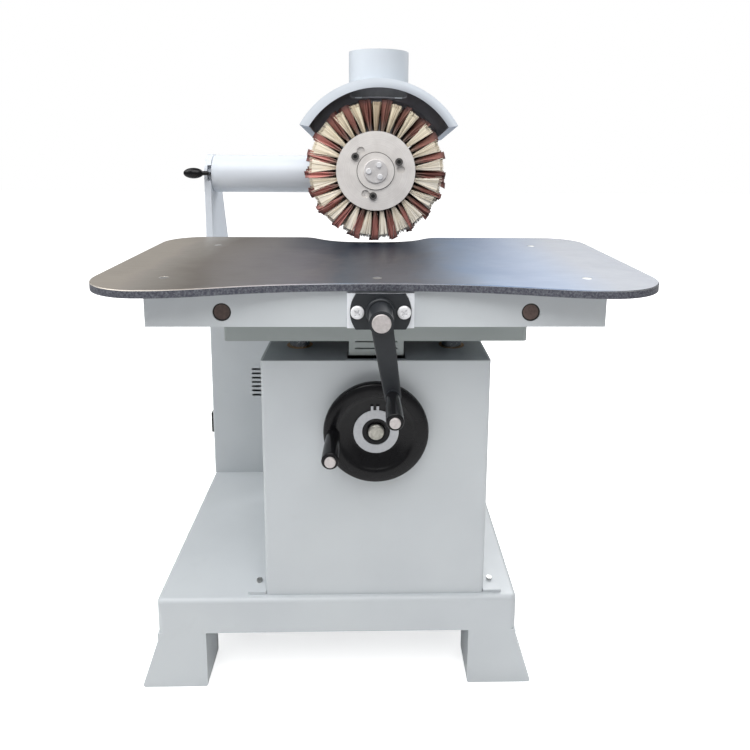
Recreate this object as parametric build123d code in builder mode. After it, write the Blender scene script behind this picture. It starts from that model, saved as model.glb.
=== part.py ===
from build123d import *
from math import cos, radians, sin
import os

# Single head brush sander on a pedestal, with a table that lifts and feeds. All sizes in millimetres.
# X runs to the operator's right, Y runs away from the operator, Z is up, and the floor is Z = 0.

# Fits shared by every piece
running_gap = 0.06
seat_gap = 0.05
slide_gap = 0.4
bolt_gap = 0.5

# Base frame and its four feet
base_left = -452
base_right = 297
base_front = -292
base_rear = 563
base_top = 203
base_corner = 14
base_edge_round = 9
deck_thickness = 12
skirt_height = 77
skirt_wall = 8
foot_width = 100
foot_depth = 94
foot_flare = 35
foot_straight = 16
foot_toe = 6
foot_round = 5

# Pedestal box
ped_width = 456
ped_front = -279
ped_depth = 403
ped_top = 714
ped_wall = 4
ped_corner = 7
top_plate_thickness = 12
ped_flange_width = 37
ped_flange_thickness = 6
ped_flange_inset = 1
ped_bolt_inset = 34

# Hexagon bolts of the frame, all of one size
bolt_radius = 3.5
bolt_head_radius = 6.2
bolt_head_height = 5
bolt_length = 16

# Rear column, its door and the upright that carries the head
column_left = -452
column_width = 300
column_front = 208
column_depth = 290
column_top = 790
column_wall = 4
column_cap = 12
vent_count = 7
vent_pitch = 12.5
vent_height = 6
vent_length = 96
vent_bottom = 436
vent_inset = 111
door_thickness = 5
door_margin = 24
upright_thickness = 17
upright_foot_depth = 200
upright_foot_height = 2
upright_flange_width = 120
upright_flange_depth = 240
upright_flange_thickness = 12

# Tilt axis: pivot tube and its stub shaft
tilt_y = 262
tilt_z = 1050
tube_radius = 50
tube_wall = 6
tube_gap = 1
tube_end = 12
wire_radius = 9
boss_radius = 52
pivot_radius = 25
pivot_collar_radius = 34
pivot_collar_length = 6
pivot_collar_chamfer = 1

# Tilt lock lever in the arc slot of the upright's boss
slot_width = 9
slot_depth = 14
slot_low_angle = -19
slot_high_angle = 28
lever_angle = 3.5
lever_root_radius = 4
lever_reach = 70.5
lever_stem_radius = 5.8
lever_stem_length = 13
knob_radius = 14
knob_length = 52
knob_overlap = 4

# Start and stop switch on the column's left side
switch_y = 262
switch_z = 342
switch_width = 56
switch_height = 58
switch_plate = 12
switch_body_depth = 46
switch_body_margin = 7
button_radius = 11
button_spacing = 25
button_proud = 4
button_travel = 2.5
button_inside = 7
button_round = 1.5
button_stem = 12
button_stem_radius = 4
switch_chamfer = 1.5
gland_radius = 12
gland_cap_radius = 10.5
gland_thread_radius = 9
gland_bore_radius = 6
gland_z = 262
gland_length = 18

# Lifting drive: handwheel shaft, bevel gears, screw, guide columns
wheel_z = 577.5
screw_y = -60
bevel_teeth = 18
bevel_pitch_radius = 36
bevel_face = 9
bevel_addendum = 2.6
bevel_dedendum = 4.4
bevel_tip_turn = 0.09
bevel_root_turn = 0.31
bevel_hub_radius = 22
bevel_hub_length = 14
screw_radius = 14
screw_top = 775
journal_radius = 10
bracket_depth = 100
bracket_thickness = 16
bracket_boss_radius = 30
bracket_boss_height = 12
wheel_shaft_radius = 12.5
housing_radius = 24
housing_length = 86
housing_flange_radius = 42
housing_flange_thickness = 6
column_x = 161
guide_front_y = -180
guide_rear_y = 40
guide_radius = 21
guide_length = 280
guide_chamfer = 2
bush_radius = 27
bush_length = 70

# Handwheel
wheel_y = -304
wheel_radius = 103
rim_half_width = 15
rim_half_depth = 11
wheel_hub_radius = 46
wheel_hub_sink = 2
wheel_hub_back = 17
wheel_dish_radius = 72
wheel_web_front = 7
wheel_web_back = 12
wheel_ring_inner = 27.5
wheel_ring_outer = 44.5
wheel_ring_thickness = 2
wheel_bolt_radius = 16
wheel_bolt_height = 8
wheel_bolt_shank = 5
wheel_bolt_length = 18
wheel_grip_offset = 83
wheel_grip_radius = 16
wheel_grip_length = 103
wheel_pin_cap = 10

# Grip pins, the same size on the crank and on the handwheel
pin_radius = 5
pin_cap_height = 4
grip_end_gap = 0.6
grip_nose_share = 0.2
grip_middle_share = 0.96
grip_back_share = 0.8

# Saddle that rides on the guide columns
saddle_width = 596
saddle_front = -276
saddle_rear = 84
saddle_bottom = 753.5
saddle_thickness = 36.5
saddle_corner = 8
block_width = 109
block_front = -262
block_rear = -10
block_height = 34
block_slot_width = 84
block_slot_height = 3
block_slot_depth = 12
block_slot_drops = (6, 20)
block_clearance = 4
lift_nut_radius = 24
lift_nut_flange_radius = 36
lift_nut_flange = 9

# Table, its frame, guide bars and feed screw
table_width = 1028
table_top_z = 896
table_thickness = 14
table_edge = 1.2
table_front = -443
table_front_dip = 54
table_front_mid_x = 244
table_front_mid_dip = 29
table_rear = 130
table_front_corner = 112
table_rear_corner = 85
scallop_x = -10
scallop_width = 350
scallop_depth = 74
scallop_shoulder_width = 240
scallop_shoulder_depth = 37
scallop_flat_width = 120
scallop_flat_depth = 70
frame_width = 822
frame_height = 68
apron_front = -379
apron_depth = 50
frame_wall = 5
rail_width = 50
rail_rear = 110
bar_spacing = 550
bar_radius = 16.5
bar_z = 841
bar_recess = 2
bar_bracket_width = 70
bar_bracket_depth = 40
bearing_width = 64
bearing_length = 60
bearing_front_ys = (-262, -130)
bearing_top_wall = 14
bearing_chamfer = 10
table_screw_radius = 4
table_screw_head = 8.5
table_screw_length = 24
table_screw_sink = 0.4
table_screw_front_y = -345
table_screw_rear_y = 6
table_screw_front_inset = 26
table_screw_rear_inset = 39

# Crank on the apron, with the feed screw behind it
crank_x = 6
crank_z = 846
pad_width = 119
pad_height = 64
pad_thickness = 8
flange_radius = 54
flange_height = 63
flange_thickness = 10
flange_boss_radius = 26
flange_boss_length = 8
flange_boss_round = 3
flange_bolt_spacing = 82
flange_bolt_radius = 5
flange_bolt_head = 12
flange_bolt_head_height = 6
flange_bolt_length = 30
feed_radius = 12
feed_rear = 20
feed_chamfer = 2
feed_nut_width = 60
feed_nut_length = 60
feed_nut_front = -190
feed_nut_chamfer = 8
crank_hub_radius = 21
crank_hub_length = 59.6
crank_arm_thickness = 15
crank_arm_recess = 4
crank_arm_bevel = 2
crank_arm_top = 19
crank_arm_end = 14.5
crank_reach = 129.7
crank_lean = 8.8
crank_cap_radius = 16
crank_cap_height = 3
crank_grip_radius = 14
crank_grip_length = 92.8
crank_pin_cap = 8.5

# Head: motor, hood and dust outlet
head_z = 1071
motor_front = 200
motor_radius = 92
motor_length = 200
motor_wall = 12
motor_front_wall = 16
motor_pad_x = -112
motor_pad_size = 124
fin_count = 24
fin_height = 10
fin_thickness = 4
end_cover_length = 46
end_wall = 16
cowl_wall = 4
bearing_outer = 36
bearing_bore = 17.5
bearing_width_y = 15
stator_inner = 61
stator_length = 110
rotor_gap = 1
rotor_length = 100
hood_front_y = 22
hood_front_radius = 214
hood_rear_radius = 182
hood_wall = 3
hood_x = 7
hood_base_angle = 15
hood_front_angle = 30
hood_rear_angle = 24
hood_lip_slope = 12
hood_rim = 21
hood_plate_inner = 50
outlet_radius = 73
outlet_wall = 2.5
outlet_y = 120
outlet_rise = 283

# Brush: core, flanges, bristle strips and abrasive strips
brush_front = 22
brush_width = 128
brush_flange_radius = 93.5
brush_flange = 4
core_radius = 82
strip_pairs = 21
strip_height = 11
strip_width = 7
bristle_rows = 5
bristle_columns = 3
bristle_tip_radius = 163
bristle_tip_drops = (0, 2, 1, 3)
bristle_root_size = 2
bristle_tip_size = 5.4
bristle_root_step = 2.3
bristle_tip_step = 7
bristle_axial_gap = 3
flap_width = 3.6
flap_fingers = 6
flap_thickness = 1.6
flap_tip_radius = 168
flap_tip_drops = (0, 2)
flap_lean = 5
flap_finger_gap = 2.4
flange_screw_radius = 5
flange_screw_head = 9
flange_screw_head_height = 5
flange_screw_circle = 59
flange_screw_angles = (22, 145, 264)
flange_screw_length = 20
keyhole_turn = 18
hub_ring_radius = 43.5
hub_ring_height = 3
hub_disc_radius = 28
hub_disc_height = 4
hub_screw_radius = 3
hub_screw_head = 6.5
hub_screw_head_height = 3
hub_screw_circle = 16.5
hub_screw_angles = (64, 180, 308)

# Places that follow from the sizes above
base_mid_x = (base_left + base_right) / 2
base_mid_y = (base_front + base_rear) / 2
base_width = base_right - base_left
base_depth = base_rear - base_front
foot_height = base_top - skirt_height
ped_rear = ped_front + ped_depth
ped_mid_y = ped_front + ped_depth / 2
column_right = column_left + column_width
column_rear = column_front + column_depth
column_mid_x = column_left + column_width / 2
column_mid_y = column_front + column_depth / 2
upright_right = column_left + upright_thickness
saddle_top = saddle_bottom + saddle_thickness
saddle_mid_y = (saddle_front + saddle_rear) / 2
column_socket = saddle_thickness / 2
nut_length = block_height + saddle_thickness
block_mid_y = (block_front + block_rear) / 2
block_depth = block_rear - block_front
table_bottom = table_top_z - table_thickness
frame_mid_z = table_bottom - frame_height / 2
apron_rear = apron_front + apron_depth
rail_x = frame_width / 2 - rail_width / 2
pad_front = apron_front - pad_thickness
flange_front = pad_front - flange_thickness
boss_front = flange_front - flange_boss_length
crank_front = boss_front - slide_gap - crank_hub_length
crank_end_x = crank_x + crank_reach * sin(radians(crank_lean))
crank_end_z = crank_z - crank_reach * cos(radians(crank_lean))
motor_rear = motor_front + motor_length
brush_rear = brush_front + brush_width


def facing_front(y, x=0, z=0):
    """Upright plane at depth y whose normal points at the operator."""
    return Plane(origin=(x, y, z), x_dir=(1, 0, 0), z_dir=(0, -1, 0))


def facing_right(x, y=0, z=0):
    """Upright plane at x whose normal points to the operator's right, Y across and Z up in it."""
    return Plane(origin=(x, y, z), x_dir=(0, 1, 0), z_dir=(1, 0, 0))


def disc(plane, radius, bore=0):
    """Round face on a plane, with an optional hole through its middle."""
    with BuildSketch(plane) as face:
        Circle(radius)
        if bore:
            Circle(bore, mode=Mode.SUBTRACT)
    return face.sketch


def panel(plane, width, height):
    """Rectangular face on a plane, centred on its origin."""
    with BuildSketch(plane) as face:
        Rectangle(width, height)
    return face.sketch


def save(piece, label):
    """Name a finished piece and write it as a file of its own."""
    piece.part.label = label
    export_step(piece.part, f"parts/{label}.step")


os.makedirs("parts", exist_ok=True)

# Base frame: a deck plate with rounded edges, welded on four skirt plates, open underneath
ped_bolt_x = ped_width / 2 + ped_flange_width / 2
ped_bolt_ys = (ped_front + ped_bolt_inset, ped_rear - ped_bolt_inset)
deck_bottom = base_top - deck_thickness
with BuildPart() as base_frame:
    with BuildSketch(Plane.XY.offset(deck_bottom)):
        with Locations((base_mid_x, base_mid_y)):
            RectangleRounded(base_width, base_depth, base_corner)
        with Locations([(side * ped_bolt_x, y) for side in (-1, 1) for y in ped_bolt_ys]):
            Circle(bolt_radius + seat_gap, mode=Mode.SUBTRACT)
    extrude(amount=deck_thickness)
    deck_outline = base_frame.faces().sort_by(Axis.Z)[-1].outer_wire().edges()
    fillet(deck_outline, base_edge_round)
    with BuildSketch(Plane.XY.offset(foot_height)):
        with Locations((base_mid_x, base_mid_y)):
            RectangleRounded(base_width, base_depth, base_corner)
            Rectangle(base_width - 2 * skirt_wall, base_depth - 2 * skirt_wall, mode=Mode.SUBTRACT)
            with GridLocations(base_width - skirt_wall, base_depth - 2 * skirt_wall, 2, 2):
                Rectangle(2 * skirt_wall, seat_gap, mode=Mode.SUBTRACT)
    extrude(amount=deck_bottom - seat_gap - foot_height)
save(base_frame, "base_frame")


def build_foot(side, end):
    """Cast foot under one corner: square on its inner faces, flared outwards to the floor."""
    outer_x = base_left if side < 0 else base_right
    outer_y = base_front if end < 0 else base_rear
    inner_x = outer_x - side * foot_width
    toe_x = outer_x + side * foot_flare
    corners = [
        (inner_x, 0),
        (inner_x, foot_height),
        (outer_x, foot_height),
        (outer_x, foot_height - foot_straight),
        (toe_x, foot_toe),
        (toe_x, 0),
    ]
    with BuildPart() as foot:
        with BuildSketch(facing_front(outer_y if end < 0 else outer_y - foot_depth)):
            with BuildLine():
                Polyline(corners, close=True)
            make_face()
        extrude(amount=-foot_depth)
        floor_edges = foot.faces().sort_by(Axis.Z)[0].edges()
        fillet(floor_edges.filter_by(Axis.Y), foot_round)
    return foot


save(build_foot(-1, -1), "foot_front_left")
save(build_foot(1, -1), "foot_front_right")
save(build_foot(-1, 1), "foot_rear_left")
save(build_foot(1, 1), "foot_rear_right")

# Pedestal box of four sheet walls, open at top and bottom, with a bolted flange strip on each side
ped_inside = (ped_width - 2 * ped_wall, ped_depth - 2 * ped_wall)
with BuildPart() as pedestal_casing:
    with BuildSketch(Plane.XY.offset(base_top)):
        with Locations((0, ped_mid_y)):
            RectangleRounded(ped_width, ped_depth, ped_corner)
            Rectangle(*ped_inside, mode=Mode.SUBTRACT)
            with GridLocations(ped_width - ped_wall, ped_inside[1], 2, 2):
                Rectangle(2 * ped_wall, seat_gap, mode=Mode.SUBTRACT)
    extrude(amount=ped_top - base_top)
    with BuildSketch(Plane.XY.offset(base_top)):
        with Locations([(side * (ped_bolt_x + seat_gap), ped_mid_y) for side in (-1, 1)]):
            Rectangle(ped_flange_width, ped_depth - 2 * ped_flange_inset)
    extrude(amount=ped_flange_thickness)
    with BuildSketch(Plane.XY.offset(base_top)):
        with Locations([(side * ped_bolt_x, y) for side in (-1, 1) for y in ped_bolt_ys]):
            Circle(bolt_radius + bolt_gap)
    extrude(amount=ped_flange_thickness, mode=Mode.SUBTRACT)
    wheel_axis = facing_front(ped_front, 0, wheel_z)
    extrude(disc(wheel_axis, housing_radius + seat_gap), amount=-2 * ped_wall, mode=Mode.SUBTRACT)
save(pedestal_casing, "pedestal_casing")

guide_places = [(side * column_x, y) for side in (-1, 1) for y in (guide_front_y, guide_rear_y)]

# Top plate let in between the pedestal's walls: bored for the guide bushes, open for the lifting block
with BuildPart() as pedestal_top_plate:
    with BuildSketch(Plane.XY.offset(ped_top - top_plate_thickness)):
        with Locations((0, ped_mid_y)):
            Rectangle(ped_inside[0] - 2 * seat_gap, ped_inside[1] - 2 * seat_gap)
        with Locations(guide_places):
            Circle(bush_radius + seat_gap, mode=Mode.SUBTRACT)
        with Locations((0, block_mid_y)):
            opening = (block_width + 2 * block_clearance, block_depth + 2 * block_clearance)
            Rectangle(*opening, mode=Mode.SUBTRACT)
    extrude(amount=top_plate_thickness)
save(pedestal_top_plate, "pedestal_top_plate")

# Four bronze bushes that guide the saddle's columns
with BuildPart() as guide_bushes:
    with BuildSketch(Plane.XY.offset(ped_top - bush_length)):
        with Locations(guide_places):
            Circle(bush_radius)
            Circle(guide_radius + running_gap, mode=Mode.SUBTRACT)
    extrude(amount=bush_length)
save(guide_bushes, "guide_bushes")

# Bracket across the inside of the pedestal: foot bearing of the lifting screw
gear_back_z = wheel_z - bevel_pitch_radius
bracket_top = gear_back_z - bevel_hub_length - slide_gap
bracket_plate_top = bracket_top - bracket_boss_height
with BuildPart() as lift_bracket:
    bracket_plane = Plane(origin=(0, screw_y, bracket_plate_top))
    extrude(panel(bracket_plane, ped_width - 2 * ped_wall, bracket_depth), amount=-bracket_thickness)
    extrude(disc(bracket_plane, bracket_boss_radius), amount=bracket_boss_height)
    extrude(
        disc(bracket_plane.offset(bracket_boss_height), journal_radius + running_gap),
        amount=-bracket_boss_height - bracket_thickness,
        mode=Mode.SUBTRACT,
    )
save(lift_bracket, "lift_bracket")


def bevel_outline(plane, scale, phase):
    """Toothed outline of a bevel gear on one plane, drawn smaller towards the cone's tip."""
    pitch_angle = 360 / bevel_teeth
    corners = (
        (-bevel_root_turn, bevel_pitch_radius - bevel_dedendum),
        (-bevel_tip_turn, bevel_pitch_radius + bevel_addendum),
        (bevel_tip_turn, bevel_pitch_radius + bevel_addendum),
        (bevel_root_turn, bevel_pitch_radius - bevel_dedendum),
    )
    points = []
    for tooth in range(bevel_teeth):
        for turn, radius in corners:
            angle = radians(phase + (tooth + turn) * pitch_angle)
            points.append((scale * radius * cos(angle), scale * radius * sin(angle)))
    with BuildSketch(plane) as outline:
        with BuildLine():
            Polyline(points, close=True)
        make_face()
    return outline.sketch


def bevel_ends(back_plane, phase):
    """The two toothed outlines of a bevel gear: full size at its back, smaller at its front."""
    front_scale = (bevel_pitch_radius - bevel_face) / bevel_pitch_radius
    front_plane = back_plane.offset(bevel_face)
    return [bevel_outline(back_plane, 1, phase), bevel_outline(front_plane, front_scale, phase)]


# Bevel gear on the lifting screw, its teeth pointing up
gear_plane = Plane(origin=(0, screw_y, gear_back_z), x_dir=(0, -1, 0), z_dir=(0, 0, 1))
gear_phase = 180 / bevel_teeth
with BuildPart() as bevel_gear:
    loft(bevel_ends(gear_plane, gear_phase), ruled=True)
    extrude(disc(gear_plane, bevel_hub_radius), amount=-bevel_hub_length)
    extrude(
        disc(gear_plane.offset(-bevel_hub_length), screw_radius + seat_gap),
        amount=bevel_hub_length + bevel_face,
        mode=Mode.SUBTRACT,
    )
save(bevel_gear, "bevel_gear")

# Lifting screw: stands in the bracket and turns in the saddle's nut
with BuildPart() as lift_screw:
    shoulder = Plane(origin=(0, screw_y, gear_back_z - bevel_hub_length))
    extrude(disc(shoulder, screw_radius), amount=screw_top - gear_back_z + bevel_hub_length)
    extrude(disc(shoulder, journal_radius), amount=-bracket_boss_height - bracket_thickness)
save(lift_screw, "lift_screw")

# Handwheel shaft with its bevel pinion cut on the inner end
pinion_y = screw_y - bevel_pitch_radius
pinion_plane = Plane(origin=(0, pinion_y, wheel_z), x_dir=(0, 0, -1), z_dir=(0, 1, 0))
hub_front_y = wheel_y + wheel_hub_sink
shaft_front = hub_front_y + wheel_ring_thickness * 2
with BuildPart() as handwheel_shaft:
    loft(bevel_ends(pinion_plane, 0), ruled=True)
    extrude(disc(pinion_plane, bevel_hub_radius), amount=-bevel_hub_length)
    extrude(disc(pinion_plane, wheel_shaft_radius), amount=-(pinion_y - shaft_front))
    extrude(
        disc(facing_front(shaft_front, 0, wheel_z), wheel_bolt_shank + seat_gap),
        amount=-wheel_bolt_length,
        mode=Mode.SUBTRACT,
    )
save(handwheel_shaft, "handwheel_shaft")

# Flanged housing in the pedestal's front that the handwheel shaft turns in
with BuildPart() as shaft_housing:
    extrude(disc(wheel_axis, housing_flange_radius), amount=housing_flange_thickness)
    extrude(disc(wheel_axis, housing_radius), amount=-housing_length)
    extrude(
        disc(wheel_axis.offset(housing_flange_thickness), wheel_shaft_radius + running_gap),
        amount=-housing_length - housing_flange_thickness,
        mode=Mode.SUBTRACT,
    )
save(shaft_housing, "shaft_housing")

# Rear column, four sheet walls under a cap: vents in front, switch hole on the left, door hole behind
door_width = column_width - 2 * door_margin
door_height = column_top - base_top - column_cap - 2 * door_margin
door_mid_z = base_top + door_margin + door_height / 2
door_bolt_x = (door_width - door_margin) / 2
door_bolt_z = (door_height - door_margin) / 2
door_bolt_places = [
    (column_mid_x + side * door_bolt_x, door_mid_z + end * door_bolt_z)
    for side in (-1, 1)
    for end in (-1, 1)
]
upright_bolt_inset = 2 * bolt_head_radius
upright_bolt_places = [
    (column_left + x, column_front + y)
    for x in (upright_thickness + upright_bolt_inset, upright_flange_width - upright_bolt_inset)
    for y in (upright_bolt_inset, upright_flange_depth - upright_bolt_inset)
]
door_plane = facing_front(column_rear, column_mid_x, door_mid_z)
switch_body_width = switch_width - 2 * switch_body_margin
switch_body_height = switch_height - 2 * switch_body_margin
gland_plane = facing_right(column_right, column_mid_y, gland_z)
with BuildPart() as column_casing:
    with BuildSketch(Plane.XY.offset(base_top)):
        with Locations((column_mid_x, column_mid_y)):
            Rectangle(column_width, column_depth)
    extrude(amount=column_top - base_top)
    fillet(column_casing.edges().filter_by(Axis.Z), column_wall)
    with BuildSketch(Plane.XY.offset(base_top)):
        with Locations((column_mid_x, column_mid_y)):
            Rectangle(column_width - 2 * column_wall, column_depth - 2 * column_wall)
            with GridLocations(column_width - column_wall, column_depth - 2 * column_wall, 2, 2):
                Rectangle(2 * column_wall, seat_gap)
    extrude(amount=column_top - base_top - column_cap, mode=Mode.SUBTRACT)
    cap_seam = Plane(origin=(column_mid_x, column_mid_y, column_top - column_cap))
    extrude(panel(cap_seam, column_width, column_depth), amount=-seat_gap, mode=Mode.SUBTRACT)
    with BuildSketch(facing_front(column_front)):
        vent_x = column_left + vent_inset + vent_length / 2
        with Locations([(vent_x, vent_bottom + vent_pitch * row) for row in range(vent_count)]):
            SlotOverall(vent_length, vent_height)
    extrude(amount=-2 * column_wall, mode=Mode.SUBTRACT)
    door_opening = panel(door_plane, door_width - 2 * door_margin, door_height - 2 * door_margin)
    extrude(door_opening, amount=2 * column_wall, mode=Mode.SUBTRACT)
    with BuildSketch(facing_front(column_rear)):
        with Locations(door_bolt_places):
            Circle(bolt_radius + seat_gap)
    extrude(amount=2 * column_wall, mode=Mode.SUBTRACT)
    with BuildSketch(Plane.XY.offset(column_top)):
        with Locations(upright_bolt_places):
            Circle(bolt_radius + seat_gap)
    extrude(amount=-column_cap, mode=Mode.SUBTRACT)
    extrude(
        panel(
            facing_right(column_left, switch_y, switch_z),
            switch_body_width + 2 * seat_gap,
            switch_body_height + 2 * seat_gap,
        ),
        amount=2 * column_wall,
        mode=Mode.SUBTRACT,
    )
    extrude(disc(gland_plane, gland_thread_radius + seat_gap), amount=-2 * column_wall, mode=Mode.SUBTRACT)
save(column_casing, "column_casing")

# Door over the opening in the column's back
with BuildPart() as column_door:
    extrude(panel(door_plane, door_width, door_height), amount=-door_thickness)
    with BuildSketch(facing_front(column_rear)):
        with Locations(door_bolt_places):
            Circle(bolt_radius + bolt_gap)
    extrude(amount=-door_thickness, mode=Mode.SUBTRACT)
    fillet(column_door.edges().filter_by(Axis.Y).filter_by(GeomType.LINE), door_thickness)
save(column_door, "column_door")

# Upright: plate with a foot flange on the column, a round boss at the tilt axis and the lever's slot
slot_mid_x = upright_right - slot_width / 2
upright_bottom = column_top + upright_flange_thickness
with BuildPart() as upright:
    with BuildSketch(facing_right(column_left)):
        with Locations((tilt_y, tilt_z)):
            Circle(boss_radius)
        with Locations((column_front + upright_foot_depth / 2, upright_bottom + upright_foot_height / 2)):
            Rectangle(upright_foot_depth, upright_foot_height)
        make_hull()
    extrude(amount=upright_thickness)
    with BuildSketch(Plane.XY.offset(column_top)):
        with Locations((column_left + upright_flange_width / 2, column_front + upright_flange_depth / 2)):
            Rectangle(upright_flange_width, upright_flange_depth)
        with Locations(upright_bolt_places):
            Circle(bolt_radius + bolt_gap, mode=Mode.SUBTRACT)
    extrude(amount=upright_flange_thickness)
    extrude(
        disc(facing_right(column_left, tilt_y, tilt_z), pivot_radius + running_gap),
        amount=upright_thickness,
        mode=Mode.SUBTRACT,
    )
    extrude(
        disc(facing_right(column_left, tilt_y, tilt_z), pivot_collar_radius + slide_gap),
        amount=pivot_collar_length + slide_gap,
        mode=Mode.SUBTRACT,
    )
    with BuildSketch(facing_right(slot_mid_x - slot_width / 2, tilt_y, tilt_z)):
        Circle(boss_radius + slot_depth)
        Circle(boss_radius - slot_depth, mode=Mode.SUBTRACT)
        with BuildLine():
            wedge_radius = 3 * boss_radius
            wedge = [
                (-wedge_radius * cos(radians(angle)), wedge_radius * sin(radians(angle)))
                for angle in (slot_low_angle, slot_high_angle)
            ]
            Polyline([(0, 0)] + wedge, close=True)
        make_face(mode=Mode.INTERSECT)
    extrude(amount=slot_width, mode=Mode.SUBTRACT)
save(upright, "upright")

# Hexagon bolts: pedestal to base, upright to column, door to column
with BuildPart() as frame_bolts:
    bolt_planes = [
        Plane(origin=(side * ped_bolt_x, y, base_top + ped_flange_thickness))
        for side in (-1, 1)
        for y in ped_bolt_ys
    ]
    bolt_planes += [Plane(origin=(x, y, upright_bottom)) for x, y in upright_bolt_places]
    bolt_planes += [
        Plane(origin=(x, column_rear + door_thickness, z), x_dir=(1, 0, 0), z_dir=(0, 1, 0))
        for x, z in door_bolt_places
    ]
    for bolt_plane in bolt_planes:
        with BuildSketch(bolt_plane):
            RegularPolygon(bolt_head_radius, 6)
        extrude(amount=bolt_head_height)
        extrude(disc(bolt_plane, bolt_radius), amount=-bolt_length)
save(frame_bolts, "frame_bolts")

# Tilt lock lever: a radial root in the boss slot, a stem to the left and an oval knob moulded on it
lever_turn = radians(lever_angle)
lever_direction = Vector(0, -cos(lever_turn), sin(lever_turn))
lever_root = Vector(slot_mid_x, tilt_y, tilt_z) + lever_direction * (boss_radius - slot_depth + slide_gap)
lever_elbow = Vector(slot_mid_x, tilt_y, tilt_z) + lever_direction * lever_reach
with BuildPart() as lock_lever:
    root_plane = Plane(origin=lever_root, x_dir=(1, 0, 0), z_dir=lever_direction)
    root_length = lever_reach - boss_radius + slot_depth - slide_gap
    extrude(disc(root_plane, lever_root_radius), amount=root_length)
    with Locations(lever_elbow):
        Sphere(lever_stem_radius)
    stem_plane = Plane(origin=lever_elbow, x_dir=(0, 1, 0), z_dir=(-1, 0, 0))
    extrude(disc(stem_plane, lever_stem_radius), amount=lever_stem_length)
    knob_middle = lever_elbow - Vector(lever_stem_length + knob_length / 2 - knob_overlap, 0, 0)
    with BuildSketch(Plane(origin=knob_middle, x_dir=(-1, 0, 0), z_dir=(0, -1, 0))):
        Ellipse(knob_length / 2, knob_radius)
        with Locations((0, -knob_radius)):
            Rectangle(knob_length, 2 * knob_radius, mode=Mode.SUBTRACT)
    revolve(axis=Axis(knob_middle, (-1, 0, 0)))
save(lock_lever, "lock_lever")

# Switch: a plate on the column's side with its body behind, and two push buttons
switch_front = column_left - switch_plate
button_places = {"start_button": button_spacing / 2, "stop_button": -button_spacing / 2}
with BuildPart() as switch_body:
    switch_plane = facing_right(switch_front, switch_y, switch_z)
    extrude(panel(switch_plane, switch_width, switch_height), amount=switch_plate)
    chamfer(switch_body.faces().sort_by(Axis.X)[0].edges(), switch_chamfer)
    body_face = panel(switch_plane, switch_body_width, switch_body_height)
    extrude(body_face, amount=switch_plate + switch_body_depth)
    for rise in button_places.values():
        button_plane = facing_right(switch_front, switch_y, switch_z + rise)
        pocket = button_inside + button_travel + slide_gap
        extrude(disc(button_plane, button_radius + slide_gap), amount=pocket, mode=Mode.SUBTRACT)
        stem_hole = disc(button_plane, button_stem_radius + slide_gap / 2)
        extrude(stem_hole, amount=pocket + button_stem, mode=Mode.SUBTRACT)
save(switch_body, "switch_body")

for button_name, rise in button_places.items():
    with BuildPart() as button:
        button_plane = facing_right(switch_front - button_proud, switch_y, switch_z + rise)
        extrude(disc(button_plane, button_radius), amount=button_proud + button_inside)
        fillet(button.faces().sort_by(Axis.X)[0].edges(), button_round)
        extrude(disc(button_plane, button_stem_radius), amount=button_proud + button_inside + button_stem)
    save(button, button_name)

# Cable gland on the column's right side
with BuildPart() as cable_gland:
    with BuildSketch(gland_plane):
        RegularPolygon(gland_radius, 6)
    extrude(amount=gland_length / 3)
    extrude(disc(gland_plane, gland_cap_radius), amount=gland_length)
    extrude(disc(gland_plane, gland_thread_radius), amount=-gland_length / 2)
    gland_bore = disc(gland_plane.offset(gland_length), gland_bore_radius)
    extrude(gland_bore, amount=-gland_length * 2, mode=Mode.SUBTRACT)
save(cable_gland, "cable_gland")

# Saddle: a thick plate with the lifting block cast under its middle
with BuildPart() as saddle:
    saddle_plane = Plane(origin=(0, saddle_mid_y, saddle_bottom))
    extrude(panel(saddle_plane, saddle_width, saddle_rear - saddle_front), amount=saddle_thickness)
    fillet(saddle.edges().filter_by(Axis.Z), saddle_corner)
    block_plane = Plane(origin=(0, block_mid_y, saddle_bottom))
    extrude(panel(block_plane, block_width, block_depth), amount=-block_height)
    for drop in block_slot_drops:
        slot = panel(facing_front(block_front, 0, saddle_bottom - drop), block_slot_width, block_slot_height)
        extrude(slot, amount=-block_slot_depth, mode=Mode.SUBTRACT)
    nut_plane = Plane(origin=(0, screw_y, saddle_bottom - block_height))
    extrude(disc(nut_plane, lift_nut_radius + seat_gap), amount=nut_length, mode=Mode.SUBTRACT)
    with BuildSketch(Plane.XY.offset(saddle_bottom)):
        with Locations(guide_places):
            Circle(guide_radius + seat_gap)
    extrude(amount=column_socket, mode=Mode.SUBTRACT)
save(saddle, "saddle")

# Ground guide columns, pressed into the saddle and sliding in the bushes
with BuildPart() as guide_columns:
    with BuildSketch(Plane.XY.offset(saddle_bottom + column_socket)):
        with Locations(guide_places):
            Circle(guide_radius)
    extrude(amount=-guide_length)
    chamfer(guide_columns.faces().group_by(Axis.Z)[0].edges(), guide_chamfer)
save(guide_columns, "guide_columns")

# Bronze nut in the saddle that the lifting screw turns in
with BuildPart() as lift_nut:
    extrude(disc(nut_plane, lift_nut_radius), amount=nut_length)
    extrude(disc(nut_plane.offset(nut_length), lift_nut_flange_radius), amount=lift_nut_flange)
    screw_hole = disc(nut_plane, screw_radius + slide_gap)
    extrude(screw_hole, amount=nut_length + lift_nut_flange, mode=Mode.SUBTRACT)
save(lift_nut, "lift_nut")

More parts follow.
